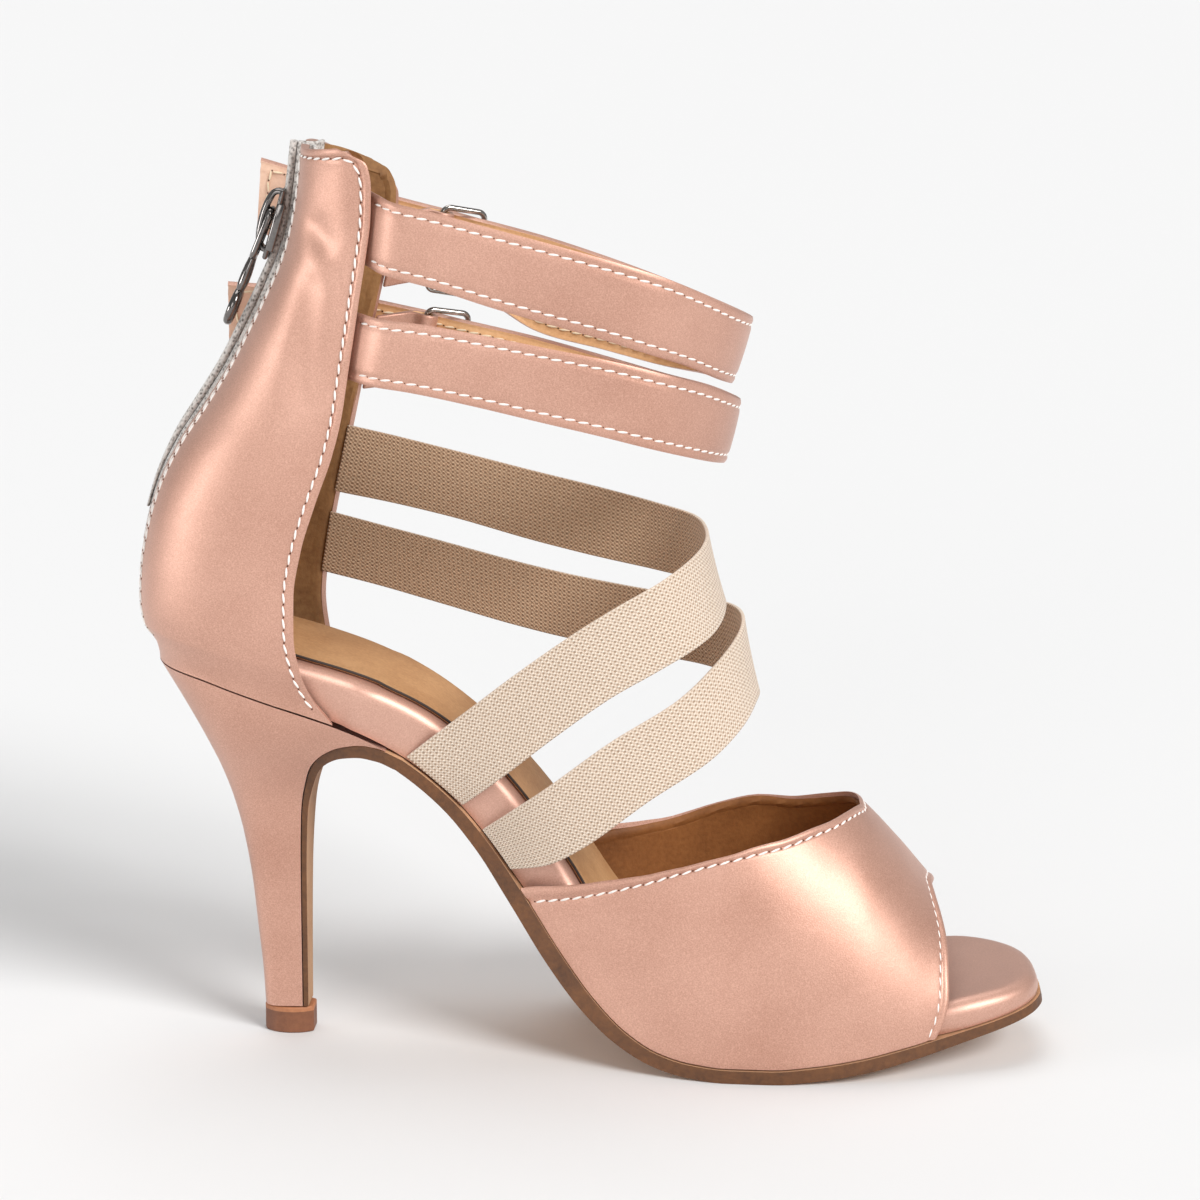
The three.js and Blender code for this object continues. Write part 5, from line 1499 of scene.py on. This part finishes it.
def make_pull():
    side_up = Vector((1, 0, 0))
    loop = [Vector((0, y, z - 6.0)) for y, z in rounded_rectangle(5.2, 12.4, 1.6)]
    rails = tube(loop, 0.85, 10, looped=True, up=side_up, wide=0.85)
    neck_radii = [0.9, 1.0, 1.1, 1.2, 1.25, 1.3, 1.3, 1.3, 1.2, 1.0, 0.9]
    neck = tube([Vector((0, 0, -12 - k)) for k in range(11)], neck_radii, 12, up=side_up, wide=1.5)
    turns = [2 * math.pi * k / 28 for k in range(28)]
    hoop = [Vector((0, 3.35 * math.sin(a), -25.5 + 3.9 * math.cos(a))) for a in turns]
    ring = tube(hoop, 1.1, 12, looped=True, up=side_up, wide=0.85)
    return lean_back(join([rails, neck, ring]), PULL_LEAN)


piece("zip_slider_casting", make_slider(), [ZIP_METAL], ["zip_slider"], sharp=50)
pull = piece("zip_pull_casting", make_pull(), [ZIP_METAL], ["zip_pull"], body=PULL, sharp=50)
print("pull tab", [round(d / MM, 1) for d in pull.dimensions])

# %% [markdown]
# ## Stitch rows on the upper
# The counter has a row along each front edge and round the collar, and a double row beside the zip.
# Each row lies a fixed distance in from its edge, read off the counter's own form.


# %% Counter stitches
def counter_facing(side, number, part):
    up = counter_spot(side, min(number + 0.1, ZIP_TOP), part) - counter_spot(side, number - 0.1, part)
    near, far = max(0, part - 0.02), min(1, part + 0.02)
    across = counter_spot(side, number, far) - counter_spot(side, number, near)
    return across.cross(up).normalized() * -SIGN[side]


def on_counter(side, number, part):
    return counter_spot(side, number, part), counter_facing(side, number, part)


def counter_row(side, part_of, low, high):
    def spot_at(t):
        number = mix(low, high, t)
        return on_counter(side, number, part_of(number))

    return course(180, spot_at)


def part_at(side, number, inset, from_front):
    """The part value that lies an inset in millimetres from the front edge or from the slit."""
    spots = [counter_spot(side, number, k / 24) for k in range(25)]
    steps = [(b - a).length for a, b in zip(spots, spots[1:])]
    length = sum(steps)
    share, run = inset / length, 0.0
    for k in reversed(range(24)) if from_front else range(24):
        step = steps[k] / length
        if run + step >= share:
            t = (share - run) / step
            return (k + 1 - t) / 24 if from_front else (k + t) / 24
        run += step
    return 0.5


def inset_part(side, inset, from_front):
    rows = [(n, part_at(side, n, inset, from_front)) for n in range(len(COUNTER_ROWS))]
    return curve(rows, 1)


EDGE_INSET, ZIP_INSETS = 2.4, (6.0, 7.6)


def collar_course(side):
    """Up along the front edge, round the collar's corner and along the top to the zip."""
    front_part = inset_part(side, EDGE_INSET, True)
    top = ZIP_TOP - 0.6
    corner, end = front_part(top) - 0.03, 0.12
    spots, normals = counter_row(side, front_part, 0.6, top - 0.5)
    top_spots, top_normals = course(40, lambda t: on_counter(side, top, mix(corner, end, t)))
    return spots + top_spots, normals + top_normals


courses = [collar_course(side) for side in SIGN]
for side in SIGN:
    for inset in ZIP_INSETS:
        courses.append(counter_row(side, inset_part(side, inset, False), 1.4, ZIP_TOP - 0.5))
sew("stitches_counter", courses)

# %% [markdown]
# ## Stitch rows on the vamp
# The vamp is stitched along its throat and along its toe opening, the same distance in from both.

# %% Vamp stitches
def vamp_row(v_at):
    def spot_at(t):
        u = mix(0.006, 0.994, t)
        v = v_at(u)
        facing = vamp_facing(u, v)
        return vamp_spot(u, v) - facing * 0.25, facing

    return course(200, spot_at)


def throat_inset(u):
    return EDGE_INSET / vamp_length(u)


sew("stitches_vamp", [vamp_row(throat_inset), vamp_row(lambda u: 1 - throat_inset(u))])

# %% [markdown]
# ## Floor, light and camera
# The photograph is a bright product shot on white. A pale floor and a white world give it. Four wide
# suns light the shoe: the right and left ones draw the satin's sheen on the vamp and the counter.

# %% Stage
WORLD_STRENGTH, FLOOR_SIZE = 0.32, 6
bpy.context.scene.view_settings.view_transform = "Standard"
world = bpy.data.worlds.new("studio")
world.use_nodes = True
world.node_tree.nodes["Background"].inputs[0].default_value = (1, 1, 1, 1)
world.node_tree.nodes["Background"].inputs[1].default_value = WORLD_STRENGTH
bpy.context.scene.world = world

bm = bmesh.new()
bmesh.ops.create_grid(bm, x_segments=1, y_segments=1, size=FLOOR_SIZE)
mesh = bpy.data.meshes.new("floor")
bm.to_mesh(mesh)
bm.free()
floor = add_object("floor", mesh)
paper = Finish("white_paper", Roughness=0.9, Base_Color=colour(229, 229, 229), Specular_IOR_Level=0.1)
mesh.materials.append(paper.material)

# way from the shoe to the light, strength, angle over which the light is spread
SUNS = {
    "right_light": ((0.6, -0.55, 0.58), 2.8, 26),
    "left_light": ((-0.93, -0.34, 0.0), 1.8, 28),
    "top_light": ((-0.1, 0.3, 0.95), 1.0, 40),
    "front_light": ((-0.22, -0.94, 0.26), 0.45, 26),
}


def aim(made, way):
    made.rotation_mode = "QUATERNION"
    made.rotation_quaternion = way.to_track_quat("-Z", "Y")


for name, (towards, power, spread) in SUNS.items():
    light = bpy.data.lights.new(name, "SUN")
    light.energy = power
    light.angle = math.radians(spread)
    aim(add_object(name, light), -Vector(towards))
print("suns", list(SUNS))

# %% [markdown]
# ## The camera
# The place, the aim and the lens were fitted to the photograph, so that a render lies over it.

# %% Camera
CAMERA_SPOT = Vector((152.38, -1065.30, 368.07)) * MM
CAMERA_AIM = Vector((77.77, 1.70, 111.28)) * MM
FOCAL_SHARE = 4490 / 1200
camera_data = bpy.data.cameras.new("camera")
camera_data.sensor_width = 36
camera_data.lens = FOCAL_SHARE * camera_data.sensor_width
camera_data.clip_start = 0.05
camera = add_object("camera", camera_data)
camera.location = CAMERA_SPOT
aim(camera, CAMERA_AIM - CAMERA_SPOT)
bpy.context.scene.camera = camera
print("lens", round(camera_data.lens, 1))
